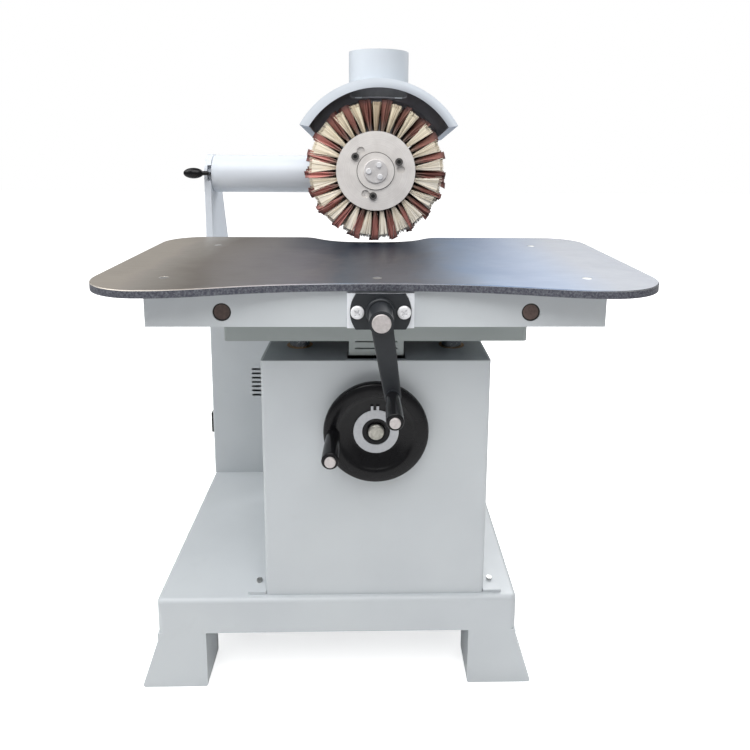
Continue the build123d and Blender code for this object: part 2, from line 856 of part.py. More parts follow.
# Four bearing blocks on the saddle that the table's guide bars slide through
with BuildPart() as bar_bearings:
    bearing_height = bar_z + bar_radius + bearing_top_wall - saddle_top
    bearing_mid_ys = [y + bearing_length / 2 for y in bearing_front_ys]
    with BuildSketch(Plane.XY.offset(saddle_top)):
        with Locations([(side * bar_spacing / 2, y) for side in (-1, 1) for y in bearing_mid_ys]):
            Rectangle(bearing_width, bearing_length)
    extrude(amount=bearing_height)
    chamfer(bar_bearings.faces().group_by(Axis.Z)[-1].edges().filter_by(Axis.Y), bearing_chamfer)
    for side in (-1, 1):
        bar_axis = facing_front(bearing_front_ys[0], side * bar_spacing / 2, bar_z)
        bearing_span = bearing_front_ys[-1] + bearing_length - bearing_front_ys[0]
        extrude(disc(bar_axis, bar_radius + running_gap), amount=-bearing_span, mode=Mode.SUBTRACT)
save(bar_bearings, "bar_bearings")

# Nut block on the saddle for the table's feed screw
with BuildPart() as feed_nut:
    feed_nut_plane = Plane(origin=(crank_x, feed_nut_front + feed_nut_length / 2, saddle_top))
    feed_nut_height = crank_z + feed_nut_width / 2 - saddle_top
    extrude(panel(feed_nut_plane, feed_nut_width, feed_nut_length), amount=feed_nut_height)
    chamfer(feed_nut.faces().sort_by(Axis.Z)[-1].edges().filter_by(Axis.Y), feed_nut_chamfer)
    extrude(
        disc(facing_front(feed_nut_front, crank_x, crank_z), feed_radius + slide_gap),
        amount=-feed_nut_length,
        mode=Mode.SUBTRACT,
    )
save(feed_nut, "feed_nut")

table_screw_places = [(0, table_screw_front_y)]
for side in (-1, 1):
    table_screw_places.append((side * (frame_width / 2 - table_screw_front_inset), table_screw_front_y))
    table_screw_places.append((side * (frame_width / 2 - table_screw_rear_inset), table_screw_rear_y))

# Front apron of the table frame: a square tube with the crank's pad welded on its face
flange_bolt_places = [(crank_x + side * flange_bolt_spacing / 2, crank_z) for side in (-1, 1)]
with BuildPart() as table_apron:
    apron_plane = facing_right(-frame_width / 2, apron_front + apron_depth / 2, frame_mid_z)
    extrude(panel(apron_plane, apron_depth, frame_height), amount=frame_width)
    extrude(
        panel(apron_plane, apron_depth - 2 * frame_wall, frame_height - 2 * frame_wall),
        amount=frame_width,
        mode=Mode.SUBTRACT,
    )
    extrude(panel(facing_front(apron_front, crank_x, crank_z), pad_width, pad_height), amount=pad_thickness)
    with BuildSketch(facing_front(apron_front)):
        with Locations([(side * bar_spacing / 2, bar_z) for side in (-1, 1)]):
            Circle(bar_radius + seat_gap)
    extrude(amount=-apron_depth, mode=Mode.SUBTRACT)
    extrude(
        disc(facing_front(pad_front, crank_x, crank_z), feed_radius + bolt_gap),
        amount=-pad_thickness - apron_depth,
        mode=Mode.SUBTRACT,
    )
    with BuildSketch(facing_front(pad_front)):
        with Locations(flange_bolt_places):
            Circle(flange_bolt_radius + seat_gap)
    extrude(amount=-pad_thickness - frame_wall, mode=Mode.SUBTRACT)
    with BuildSketch(Plane.XY.offset(table_bottom)):
        with Locations(table_screw_places):
            Circle(table_screw_radius + seat_gap)
    extrude(amount=-frame_wall, mode=Mode.SUBTRACT)
save(table_apron, "table_apron")

# Side rails of the table frame, each with the bracket for the rear end of its guide bar
with BuildPart() as table_rails:
    for side in (-1, 1):
        rail_plane = facing_front(apron_rear, side * rail_x, frame_mid_z)
        rail_length = rail_rear - apron_rear
        extrude(panel(rail_plane, rail_width, frame_height), amount=-rail_length)
        extrude(
            panel(rail_plane, rail_width - 2 * frame_wall, frame_height - 2 * frame_wall),
            amount=-rail_length,
            mode=Mode.SUBTRACT,
        )
        bracket_inner = bar_spacing / 2 - bar_bracket_width / 2
        bracket_outer = rail_x - rail_width / 2
        bracket_face = facing_front(rail_rear, side * (bracket_inner + bracket_outer) / 2, frame_mid_z)
        extrude(panel(bracket_face, bracket_outer - bracket_inner, frame_height), amount=bar_bracket_depth)
        bar_end = facing_front(rail_rear, side * bar_spacing / 2, bar_z)
        extrude(disc(bar_end, bar_radius + seat_gap), amount=bar_bracket_depth, mode=Mode.SUBTRACT)
    with BuildSketch(Plane.XY.offset(table_bottom)):
        with Locations([place for place in table_screw_places if place[1] > apron_rear]):
            Circle(table_screw_radius + seat_gap)
    extrude(amount=-frame_wall, mode=Mode.SUBTRACT)
save(table_rails, "table_rails")

# Two ground guide bars from the apron to the rear brackets
with BuildPart() as guide_bars:
    with BuildSketch(facing_front(apron_front + bar_recess)):
        with Locations([(side * bar_spacing / 2, bar_z) for side in (-1, 1)]):
            Circle(bar_radius)
    extrude(amount=-(rail_rear - apron_front - bar_recess))
save(guide_bars, "guide_bars")

# Table top: steel plate with a shallow hollow in front and a scallop for the brush behind
with BuildPart() as table_top:
    with BuildSketch(Plane.XY.offset(table_bottom)):
        with BuildLine():
            half = table_width / 2
            front_left = (-half + table_front_corner, table_front)
            front_right = (half - table_front_corner, table_front)
            rear_left = (-half + table_rear_corner, table_rear)
            rear_right = (half - table_rear_corner, table_rear)
            side_front_y = table_front + table_front_corner
            side_rear_y = table_rear - table_rear_corner
            front_mid_y = table_front + table_front_mid_dip
            front_points = [
                front_left,
                (-table_front_mid_x, front_mid_y),
                (0, table_front + table_front_dip),
                (table_front_mid_x, front_mid_y),
                front_right,
            ]
            Spline(front_points, tangents=[(1, 0), (1, 0)])
            RadiusArc(front_right, (half, side_front_y), -table_front_corner)
            Line((half, side_front_y), (half, side_rear_y))
            RadiusArc((half, side_rear_y), rear_right, -table_rear_corner)
            scallop_points = [
                (scallop_x + scallop_width / 2, table_rear),
                (scallop_x + scallop_shoulder_width / 2, table_rear - scallop_shoulder_depth),
                (scallop_x + scallop_flat_width / 2, table_rear - scallop_flat_depth),
                (scallop_x, table_rear - scallop_depth),
                (scallop_x - scallop_flat_width / 2, table_rear - scallop_flat_depth),
                (scallop_x - scallop_shoulder_width / 2, table_rear - scallop_shoulder_depth),
                (scallop_x - scallop_width / 2, table_rear),
            ]
            Line(rear_right, scallop_points[0])
            Spline(scallop_points, tangents=[(-1, 0), (-1, 0)])
            Line(scallop_points[-1], rear_left)
            RadiusArc(rear_left, (-half, side_rear_y), -table_rear_corner)
            Line((-half, side_rear_y), (-half, side_front_y))
            RadiusArc((-half, side_front_y), front_left, -table_front_corner)
        make_face()
    extrude(amount=table_thickness)
    chamfer(table_top.faces().sort_by(Axis.Z)[-1].edges(), table_edge)
    with Locations([(x, y, table_top_z) for x, y in table_screw_places]):
        CounterSinkHole(table_screw_radius + bolt_gap, table_screw_head + bolt_gap)
save(table_top, "table_top")

# Countersunk screws through the table into its frame
with BuildPart() as table_screws:
    for x, y in table_screw_places:
        head_plane = Plane(origin=(x, y, table_top_z - table_screw_sink))
        with Locations(head_plane):
            Cone(
                table_screw_radius,
                table_screw_head,
                table_screw_head - table_screw_radius,
                align=(Align.CENTER, Align.CENTER, Align.MAX),
            )
        extrude(disc(head_plane, table_screw_radius), amount=-table_screw_length)
save(table_screws, "table_screws")

# Black flange with two flats that carries the crank's shaft
crank_axis = facing_front(pad_front, crank_x, crank_z)
with BuildPart() as crank_flange:
    with BuildSketch(crank_axis):
        Circle(flange_radius)
        Rectangle(2 * flange_radius, flange_height, mode=Mode.INTERSECT)
        with Locations([(side * flange_bolt_spacing / 2, 0) for side in (-1, 1)]):
            Circle(flange_bolt_radius + bolt_gap, mode=Mode.SUBTRACT)
    extrude(amount=flange_thickness)
    extrude(disc(crank_axis, flange_boss_radius), amount=flange_thickness + flange_boss_length)
    fillet(crank_flange.faces().sort_by(Axis.Y)[0].edges(), flange_boss_round)
    extrude(
        disc(crank_axis, feed_radius + running_gap),
        amount=flange_thickness + flange_boss_length,
        mode=Mode.SUBTRACT,
    )
save(crank_flange, "crank_flange")

# Round headed screws of the crank flange
with BuildPart() as crank_flange_screws:
    for x, z in flange_bolt_places:
        screw_plane = facing_front(flange_front, x, z)
        extrude(disc(screw_plane, flange_bolt_head), amount=flange_bolt_head_height)
        extrude(disc(screw_plane, flange_bolt_radius), amount=-flange_bolt_length)
    fillet(crank_flange_screws.faces().group_by(Axis.Y)[0].edges(), flange_bolt_head_height / 2)
save(crank_flange_screws, "crank_flange_screws")

# Feed screw: turned by the crank, it runs through the flange into the saddle's nut
with BuildPart() as feed_screw:
    extrude(disc(facing_front(crank_front, crank_x, crank_z), feed_radius), amount=-(feed_rear - crank_front))
    chamfer(feed_screw.faces().sort_by(Axis.Y)[-1].edges(), feed_chamfer)
save(feed_screw, "feed_screw")

# Crank: hub, tapered arm and the eye of the grip's pin
with BuildPart() as crank_arm:
    hub_plane = facing_front(crank_front, crank_x, crank_z)
    eye_plane = facing_front(crank_front, crank_end_x, crank_end_z)
    with BuildSketch(facing_front(crank_front + crank_arm_recess)):
        with Locations((crank_x, crank_z)):
            Circle(crank_arm_top)
        with Locations((crank_end_x, crank_end_z)):
            Circle(crank_arm_end)
        make_hull()
    extrude(amount=-(crank_arm_thickness - crank_arm_recess))
    chamfer(crank_arm.faces().sort_by(Axis.Y)[0].edges(), crank_arm_bevel)
    extrude(disc(hub_plane, crank_hub_radius), amount=-crank_hub_length)
    extrude(disc(eye_plane, crank_arm_end - crank_arm_bevel), amount=-crank_arm_thickness)
    extrude(disc(hub_plane, feed_radius + seat_gap), amount=-crank_hub_length, mode=Mode.SUBTRACT)
    extrude(disc(eye_plane, pin_radius + seat_gap), amount=-crank_arm_thickness, mode=Mode.SUBTRACT)
save(crank_arm, "crank_arm")

# Cap pressed over the crank's hub
with BuildPart() as crank_hub_cap:
    extrude(disc(hub_plane, crank_cap_radius), amount=crank_cap_height)
    chamfer(crank_hub_cap.faces().sort_by(Axis.Y)[0].edges(), crank_cap_height / 3)
save(crank_hub_cap, "crank_hub_cap")


def build_grip(x, z, back_y, radius, length):
    """Revolving grip: hollow for its pin, slimmer at the back and rounded at the front end."""
    with BuildPart() as grip:
        with BuildSketch(Plane(origin=(x, back_y, z), x_dir=(1, 0, 0), z_dir=(0, 0, 1))):
            with BuildLine():
                bore = pin_radius + slide_gap
                nose = grip_nose_share * radius
                back = grip_back_share * radius
                middle = (grip_middle_share * radius, -length / 2)
                Line((bore, 0), (bore, -length))
                Line((bore, -length), (radius - nose, -length))
                JernArc((radius - nose, -length), (1, 0), nose, 90)
                ThreePointArc((radius, nose - length), middle, (back, 0))
                Line((back, 0), (bore, 0))
            make_face()
        revolve(axis=Axis((x, back_y, z), (0, 1, 0)))
    return grip


def build_grip_pin(x, z, root_y, front_y, cap_radius):
    """Pin of a revolving grip, with the round cap that keeps the grip on."""
    with BuildPart() as pin:
        cap_plane = facing_front(front_y - grip_end_gap, x, z)
        extrude(disc(cap_plane, pin_radius), amount=-(root_y - front_y + grip_end_gap))
        extrude(disc(cap_plane, cap_radius), amount=pin_cap_height)
        fillet(pin.faces().sort_by(Axis.Y)[0].edges(), pin_cap_height / 3)
    return pin


crank_grip_back = crank_front - grip_end_gap
crank_grip_front = crank_grip_back - crank_grip_length
crank_end = (crank_end_x, crank_end_z)
crank_arm_back = crank_front + crank_arm_thickness
save(build_grip(*crank_end, crank_grip_back, crank_grip_radius, crank_grip_length), "crank_grip")
save(build_grip_pin(*crank_end, crank_arm_back, crank_grip_front, crank_pin_cap), "crank_grip_pin")

# Handwheel: round rim, dished web and a sunk hub that takes the shaft
wheel_section = Plane(origin=(0, wheel_y, wheel_z), x_dir=(1, 0, 0), z_dir=(0, 0, 1))
rim_middle = wheel_radius - rim_half_width
with BuildPart() as handwheel:
    with BuildSketch(wheel_section):
        with Locations((rim_middle, 0)):
            Ellipse(rim_half_width, rim_half_depth)
        with BuildLine():
            dish_corners = [
                (0, wheel_hub_sink),
                (wheel_hub_radius, wheel_hub_sink),
                (wheel_dish_radius, -wheel_web_front),
                (rim_middle, -wheel_web_front),
                (rim_middle, wheel_web_front),
                (wheel_dish_radius, wheel_web_front),
                (wheel_hub_radius, wheel_web_back),
                (wheel_hub_radius, wheel_hub_back),
                (0, wheel_hub_back),
            ]
            Polyline(dish_corners, close=True)
        make_face()
    revolve(axis=Axis(wheel_section.origin, (0, 1, 0)))
    hub_back_plane = facing_front(wheel_y + wheel_hub_back, 0, wheel_z)
    extrude(
        disc(hub_back_plane, wheel_shaft_radius + seat_gap),
        amount=wheel_y + wheel_hub_back - shaft_front,
        mode=Mode.SUBTRACT,
    )
    extrude(
        disc(hub_back_plane, wheel_bolt_shank + bolt_gap),
        amount=wheel_hub_back - wheel_hub_sink,
        mode=Mode.SUBTRACT,
    )
    extrude(
        disc(facing_front(wheel_y, -wheel_grip_offset, wheel_z), pin_radius + seat_gap),
        amount=2 * rim_half_depth,
        mode=Mode.SUBTRACT,
    )
save(handwheel, "handwheel")

hub_front_plane = facing_front(hub_front_y, 0, wheel_z)

# Aluminium ring let into the face of the handwheel's hub
with BuildPart() as handwheel_ring:
    extrude(disc(hub_front_plane, wheel_ring_outer, wheel_ring_inner), amount=wheel_ring_thickness)
save(handwheel_ring, "handwheel_ring")

# Bolt that holds the handwheel on its shaft
with BuildPart() as handwheel_bolt:
    extrude(disc(hub_front_plane, wheel_bolt_radius), amount=wheel_bolt_height)
    fillet(handwheel_bolt.faces().sort_by(Axis.Y)[0].edges(), wheel_bolt_height / 2)
    extrude(disc(hub_front_plane, wheel_bolt_shank), amount=-wheel_bolt_length)
save(handwheel_bolt, "handwheel_bolt")

wheel_grip_back = wheel_y - rim_half_depth - grip_end_gap
wheel_grip_front = wheel_grip_back - wheel_grip_length
wheel_grip_place = (-wheel_grip_offset, wheel_z)
save(build_grip(*wheel_grip_place, wheel_grip_back, wheel_grip_radius, wheel_grip_length), "handwheel_grip")
save(build_grip_pin(*wheel_grip_place, wheel_y, wheel_grip_front, wheel_pin_cap), "handwheel_grip_pin")

# Pivot tube: carries the motor, and turns in the upright on its stub shaft
tube_left = upright_right + tube_gap
tube_plane = facing_right(tube_left, tilt_y, tilt_z)
stub_left = column_left
with BuildPart() as pivot_tube:
    extrude(disc(tube_plane, tube_radius), amount=motor_pad_x - tube_left)
    extrude(
        disc(tube_plane.offset(tube_end), tube_radius - tube_wall),
        amount=motor_pad_x - tube_left - 2 * tube_end,
        mode=Mode.SUBTRACT,
    )
    extrude(disc(tube_plane, pivot_radius), amount=-(tube_left - stub_left))
    stub_plane = facing_right(stub_left, tilt_y, tilt_z)
    extrude(disc(stub_plane, wire_radius), amount=motor_pad_x - stub_left, mode=Mode.SUBTRACT)
save(pivot_tube, "pivot_tube")

# Collar that keeps the stub shaft in the upright, sunk in its left face
with BuildPart() as pivot_collar:
    extrude(disc(stub_plane, pivot_collar_radius, pivot_radius + seat_gap), amount=pivot_collar_length)
    chamfer(pivot_collar.faces().sort_by(Axis.X)[0].edges().sort_by(SortBy.RADIUS)[-1], pivot_collar_chamfer)
save(pivot_collar, "pivot_collar")

# Motor housing: finned body, closed in front around the bearing, with a pad for the tube
motor_plane = facing_front(motor_front, 0, head_z)
motor_bore = motor_radius - motor_wall
with BuildPart() as motor_housing:
    extrude(disc(motor_plane, motor_radius), amount=-motor_length)
    with BuildSketch(motor_plane.offset(-motor_front_wall)):
        with PolarLocations(motor_radius, fin_count):
            Rectangle(2 * fin_height, fin_thickness)
    extrude(amount=-(motor_length - 2 * motor_front_wall))
    pad_plane = facing_right(motor_pad_x, tilt_y, tilt_z)
    extrude(panel(pad_plane, motor_pad_size, motor_pad_size), amount=-motor_pad_x - motor_radius / 2)
    extrude(disc(pad_plane, wire_radius), amount=-motor_pad_x, mode=Mode.SUBTRACT)
    extrude(
        disc(motor_plane.offset(-motor_front_wall), motor_bore),
        amount=-(motor_length - motor_front_wall),
        mode=Mode.SUBTRACT,
    )
    extrude(disc(motor_plane, bearing_outer + seat_gap), amount=-motor_front_wall, mode=Mode.SUBTRACT)
save(motor_housing, "motor_housing")

# Rear cover of the motor: bearing wall and a slotted cowl over the cooling fan
cover_plane = facing_front(motor_rear, 0, head_z)
with BuildPart() as motor_end_cover:
    extrude(disc(cover_plane, motor_radius), amount=-end_cover_length)
    fillet(motor_end_cover.faces().sort_by(Axis.Y)[-1].edges(), 3 * cowl_wall)
    extrude(
        disc(cover_plane.offset(-end_wall), motor_radius - 2 * cowl_wall),
        amount=-(end_cover_length - end_wall - cowl_wall),
        mode=Mode.SUBTRACT,
    )
    extrude(disc(cover_plane, bearing_outer + seat_gap), amount=-end_wall, mode=Mode.SUBTRACT)
    with BuildSketch(cover_plane.offset(-end_cover_length)):
        with PolarLocations(motor_radius / 2, fin_count // 2):
            SlotOverall(motor_radius / 2, 2 * fin_thickness)
    extrude(amount=2 * cowl_wall, mode=Mode.SUBTRACT)
save(motor_end_cover, "motor_end_cover")

# Stator packed in the motor housing
rotor_mid_y = (motor_front + motor_front_wall + motor_rear) / 2
with BuildPart() as stator:
    extrude(
        disc(facing_front(rotor_mid_y, 0, head_z), motor_bore - seat_gap, stator_inner),
        amount=stator_length / 2,
        both=True,
    )
save(stator, "stator")

# Sealed ball bearings of the spindle, one in each end of the motor
with BuildPart() as spindle_bearings:
    for bearing_y in (motor_front, motor_rear):
        bearing_plane = facing_front(bearing_y, 0, head_z)
        extrude(disc(bearing_plane, bearing_outer, bearing_bore + running_gap), amount=-bearing_width_y)
save(spindle_bearings, "spindle_bearings")

# Spindle: motor shaft with its rotor and cooling fan, carrying the brush in front
with BuildPart() as spindle:
    spindle_rear = motor_rear + end_cover_length - 3 * cowl_wall
    extrude(disc(facing_front(spindle_rear, 0, head_z), bearing_bore), amount=spindle_rear - brush_front)
    rotor_face = disc(facing_front(rotor_mid_y, 0, head_z), stator_inner - rotor_gap)
    extrude(rotor_face, amount=rotor_length / 2, both=True)
    fan_plane = facing_front(spindle_rear, 0, head_z)
    extrude(disc(fan_plane, stator_inner), amount=(end_cover_length - end_wall) / 3)
save(spindle, "spindle")


def ring_section(angle, corners):
    """Closed outline of radius and depth pairs, on a plane at an angle around the hood's axis."""
    turn = radians(angle)
    across = (cos(turn), 0, sin(turn))
    section_plane = Plane(origin=(hood_x, 0, head_z), x_dir=across, z_dir=(-sin(turn), 0, cos(turn)))
    with BuildSketch(section_plane) as section:
        with BuildLine():
            Polyline(corners, close=True)
        make_face()
    return section.sketch


# Hood: conical sheet over the brush with a rim in front, folded lips at both ends and a plate on the motor
hood_axis = Axis((hood_x, 0, head_z), (0, -1, 0))
hood_rear_y = motor_front - hood_wall


def hood_turn(corners):
    """Part of the hood made by turning an outline about its axis, down to below both of its ends."""
    with BuildPart() as turned:
        arc = 180 - 2 * hood_base_angle
        revolve(ring_section(hood_base_angle, corners), axis=hood_axis, revolution_arc=arc)
    return turned.part


def hood_end(side):
    """Plane of one end of the hood: it falls to the rear and a little inwards, with its normal up."""
    front_turn = radians(hood_front_angle)
    rear_turn = radians(hood_rear_angle)
    slope = radians(hood_lip_slope)
    front_corner = Vector(
        hood_x + side * hood_front_radius * cos(front_turn),
        hood_front_y,
        head_z + hood_front_radius * sin(front_turn),
    )
    rear_corner = Vector(
        hood_x + side * hood_rear_radius * cos(rear_turn),
        hood_rear_y,
        head_z + hood_rear_radius * sin(rear_turn),
    )
    inwards = Vector(-side * cos(slope), 0, -sin(slope))
    normal = inwards.cross(rear_corner - front_corner) * -side
    return Plane(origin=front_corner, x_dir=inwards, z_dir=normal)


def hood_band(width):
    """Corners of a band of the hood's cone, this wide inwards from its outer face."""
    return [
        (hood_front_radius, hood_front_y),
        (hood_rear_radius, hood_rear_y),
        (hood_rear_radius - width, hood_rear_y),
        (hood_front_radius - width, hood_front_y),
    ]


def hood_ring(inner, outer, front):
    """Corners of a flat ring of the hood, one sheet thick."""
    return [(inner, front), (outer, front), (outer, front + hood_wall), (inner, front + hood_wall)]


with BuildPart() as hood:
    rim_inner = hood_front_radius - hood_rim
    sections = [
        hood_band(hood_wall),
        hood_ring(rim_inner, hood_front_radius, hood_front_y),
        hood_ring(hood_plate_inner, hood_rear_radius, hood_rear_y),
    ]
    add([hood_turn(corners) for corners in sections])
    for side in (-1, 1):
        split(bisect_by=hood_end(side), keep=Keep.TOP)
    for side in (-1, 1):
        with BuildPart() as lip:
            add(hood_turn(hood_band(hood_rim)))
            split(bisect_by=hood_end(side), keep=Keep.TOP)
            split(bisect_by=hood_end(side).offset(hood_wall), keep=Keep.BOTTOM)
        add(lip.part)
    outlet_plane = Plane(origin=(hood_x, outlet_y, head_z + hood_plate_inner))
    extrude(disc(outlet_plane, outlet_radius - outlet_wall), amount=hood_front_radius, mode=Mode.SUBTRACT)
save(hood, "hood")

# Dust outlet: a spigot standing on the hood, cut to its cone
with BuildPart() as dust_outlet:
    outlet_height = outlet_rise - hood_plate_inner
    extrude(disc(outlet_plane, outlet_radius, outlet_radius - outlet_wall), amount=outlet_height)
    cone_corners = [
        (0, hood_front_y),
        (hood_front_radius + seat_gap, hood_front_y),
        (hood_rear_radius + seat_gap, hood_rear_y),
        (0, hood_rear_y),
    ]
    revolve(ring_section(0, cone_corners), axis=hood_axis, mode=Mode.SUBTRACT)
save(dust_outlet, "dust_outlet")

# Brush core: a drum on the spindle with the rear flange turned on it
flange_back = brush_front + brush_flange
with BuildPart() as brush_core:
    extrude(disc(facing_front(brush_rear, 0, head_z), core_radius), amount=brush_rear - flange_back)
    extrude(disc(facing_front(brush_rear, 0, head_z), brush_flange_radius), amount=brush_flange)
    extrude(
        disc(facing_front(brush_rear, 0, head_z), bearing_bore + seat_gap),
        amount=brush_width,
        mode=Mode.SUBTRACT,
    )
    with BuildSketch(facing_front(flange_back, 0, head_z)):
        for angle in flange_screw_angles:
            with PolarLocations(flange_screw_circle, 1, start_angle=angle):
                Circle(flange_screw_radius + seat_gap)
    extrude(amount=-flange_screw_length, mode=Mode.SUBTRACT)
save(brush_core, "brush_core")

# Front flange of the brush: satin disc with a raised hub ring and three keyholes
brush_face = facing_front(brush_front, 0, head_z)
with BuildPart() as brush_flange_plate:
    extrude(disc(facing_front(flange_back, 0, head_z), brush_flange_radius), amount=brush_flange)
    extrude(disc(brush_face, hub_ring_radius), amount=hub_ring_height)
    extrude(
        disc(facing_front(flange_back, 0, head_z), bearing_bore + seat_gap),
        amount=brush_flange,
        mode=Mode.SUBTRACT,
    )
    for angle in flange_screw_angles:
        with BuildSketch(brush_face):
            for end_angle in (angle - keyhole_turn, angle):
                with PolarLocations(flange_screw_circle, 1, start_angle=end_angle):
                    Circle(flange_screw_radius + bolt_gap)
            make_hull()
            with PolarLocations(flange_screw_circle, 1, start_angle=angle - keyhole_turn):
                Circle(flange_screw_head + bolt_gap)
        extrude(amount=-brush_flange, mode=Mode.SUBTRACT)
    with BuildSketch(brush_face.offset(hub_ring_height)):
        for angle in hub_screw_angles:
            with PolarLocations(hub_screw_circle, 1, start_angle=angle):
                Circle(hub_screw_radius + seat_gap)
    extrude(amount=-hub_ring_height, mode=Mode.SUBTRACT)
save(brush_flange_plate, "brush_flange")

# Socket head screws that draw the flange onto the core
with BuildPart() as flange_screws:
    for angle in flange_screw_angles:
        turn = radians(angle)
        screw_x = flange_screw_circle * cos(turn)
        screw_face = facing_front(brush_front, screw_x, head_z + flange_screw_circle * sin(turn))
        extrude(disc(screw_face, flange_screw_head), amount=flange_screw_head_height)
        extrude(disc(screw_face, flange_screw_radius), amount=-flange_screw_length)
        with BuildSketch(screw_face.offset(flange_screw_head_height)):
            RegularPolygon(flange_screw_radius, 6)
        extrude(amount=-flange_screw_head_height / 2, mode=Mode.SUBTRACT)
save(flange_screws, "flange_screws")

# Hub disc over the spindle's end
hub_face = brush_face.offset(hub_ring_height)
with BuildPart() as hub_disc:
    extrude(disc(hub_face, hub_disc_radius), amount=hub_disc_height)
    chamfer(hub_disc.faces().sort_by(Axis.Y)[0].edges(), hub_disc_height / 4)
    with BuildSketch(hub_face):
        for angle in hub_screw_angles:
            with PolarLocations(hub_screw_circle, 1, start_angle=angle):
                Circle(hub_screw_radius + bolt_gap / 2)
    extrude(amount=hub_disc_height, mode=Mode.SUBTRACT)
save(hub_disc, "hub_disc")

# Three bright screws in the hub disc
with BuildPart() as hub_screws:
    for angle in hub_screw_angles:
        turn = radians(angle)
        hub_front = brush_front - hub_ring_height - hub_disc_height
        across = hub_screw_circle * cos(turn)
        screw_face = facing_front(hub_front, across, head_z + hub_screw_circle * sin(turn))
        extrude(disc(screw_face, hub_screw_head), amount=hub_screw_head_height)
        extrude(disc(screw_face, hub_screw_radius), amount=-hub_disc_height - hub_ring_height)
    fillet(hub_screws.faces().group_by(Axis.Y)[0].edges(), hub_screw_head_height / 3)
save(hub_screws, "hub_screws")


def strip_backing(width):
    """Backing bar of a strip at the top of the drum, between the two flanges."""
    length = brush_width - 2 * brush_flange - 2 * slide_gap
    with BuildPart() as backing:
        backing_plane = Plane(origin=(0, brush_front + brush_width / 2, head_z + core_radius + slide_gap))
        extrude(panel(backing_plane, width, length), amount=strip_height)
    return backing.part, length


def strand(x_root, x_tip, y, widths, depth, tip_radius):
    """One four sided strand from inside the backing out to its tip, wider or narrower at the tip."""
    root_z = head_z + core_radius + slide_gap + strip_height / 2
    with BuildPart() as piece:
        with BuildSketch(Plane(origin=(x_root, y, root_z))):
            Rectangle(widths[0], depth)
        with BuildSketch(Plane(origin=(x_tip, y, head_z + tip_radius))):
            Rectangle(widths[1], depth)
        loft(ruled=True)
    return piece.part


def row_places(count, length, gap):
    """Middle depths and the common depth of equal strands along a strip."""
    depth = (length - (count - 1) * gap) / count
    start = brush_front + (brush_width - length + depth) / 2
    return [start + row * (depth + gap) for row in range(count)], depth


# Bristle strips: tufts of stiff plant fibre that spread towards their ragged tips
bristle_backing, strip_length = strip_backing(strip_width)
row_middles, row_depth = row_places(bristle_rows, strip_length, bristle_axial_gap)
tuft_columns = [column - (bristle_columns - 1) / 2 for column in range(bristle_columns)]
bristle_strands = [
    strand(
        column * bristle_root_step,
        column * bristle_tip_step,
        y,
        (bristle_root_size, bristle_tip_size),
        row_depth,
        bristle_tip_radius - bristle_tip_drops[(row + place) % len(bristle_tip_drops)],
    )
    for row, y in enumerate(row_middles)
    for place, column in enumerate(tuft_columns)
]
with BuildPart() as bristle_strip:
    add(bristle_backing)
    add(bristle_strands)
brush_axis = Axis((0, 0, head_z), (0, -1, 0))
strip_angles = [360 * place / strip_pairs for place in range(strip_pairs)]
with BuildPart() as bristle_strips:
    add([bristle_strip.part.rotate(brush_axis, angle) for angle in strip_angles])
save(bristle_strips, "bristle_strips")

# Abrasive strips between them: cloth flaps slit into fingers that trail the turning brush
flap_backing, strip_length = strip_backing(flap_width)
finger_middles, finger_depth = row_places(flap_fingers, strip_length, flap_finger_gap)
flap_strands = [
    strand(
        0,
        flap_lean,
        y,
        (flap_thickness, flap_thickness),
        finger_depth,
        flap_tip_radius - flap_tip_drops[finger % len(flap_tip_drops)],
    )
    for finger, y in enumerate(finger_middles)
]
with BuildPart() as abrasive_strip:
    add(flap_backing)
    add(flap_strands)
with BuildPart() as abrasive_strips:
    half_step = 180 / strip_pairs
    add([abrasive_strip.part.rotate(brush_axis, angle + half_step) for angle in strip_angles])
save(abrasive_strips, "abrasive_strips")
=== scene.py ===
import math
from types import SimpleNamespace

import bpy
import numpy as np
from mathutils import Matrix, Vector


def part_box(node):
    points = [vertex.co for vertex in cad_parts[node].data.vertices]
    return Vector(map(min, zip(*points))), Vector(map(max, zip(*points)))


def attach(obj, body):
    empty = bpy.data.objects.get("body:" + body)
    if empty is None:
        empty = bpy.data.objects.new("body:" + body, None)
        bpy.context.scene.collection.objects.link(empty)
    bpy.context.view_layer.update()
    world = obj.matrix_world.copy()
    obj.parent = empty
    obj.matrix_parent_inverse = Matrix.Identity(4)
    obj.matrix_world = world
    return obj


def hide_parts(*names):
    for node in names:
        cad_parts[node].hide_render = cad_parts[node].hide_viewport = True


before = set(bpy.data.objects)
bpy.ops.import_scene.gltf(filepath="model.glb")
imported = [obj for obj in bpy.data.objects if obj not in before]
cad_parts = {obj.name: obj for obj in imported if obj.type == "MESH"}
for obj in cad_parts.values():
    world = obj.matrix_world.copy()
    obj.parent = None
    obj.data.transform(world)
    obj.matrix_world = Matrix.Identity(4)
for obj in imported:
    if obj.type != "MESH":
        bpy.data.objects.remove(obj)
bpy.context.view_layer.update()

# Viewpoint: straight in front at chest height, a finger's breadth left of the machine's middle, turned a
# little right and down. The lens is short and shifted, so the machine stands low in the picture.
PICTURE_SIDE, FOCAL_PIXELS, SENSOR_WIDTH = 750, 620, 36.0
LENS_SHIFT_X, LENS_SHIFT_Y = -0.0136, -0.1824
EYE = (-0.0146, -1.4474, 1.1437)
TURN_RIGHT, LOOK_DOWN, ROLL = 1.485, 9.0, 0.438
camera_data = bpy.data.cameras.new("operator_view")
camera_data.sensor_width = SENSOR_WIDTH
camera_data.lens = FOCAL_PIXELS / PICTURE_SIDE * SENSOR_WIDTH
camera_data.shift_x = LENS_SHIFT_X
camera_data.shift_y = LENS_SHIFT_Y
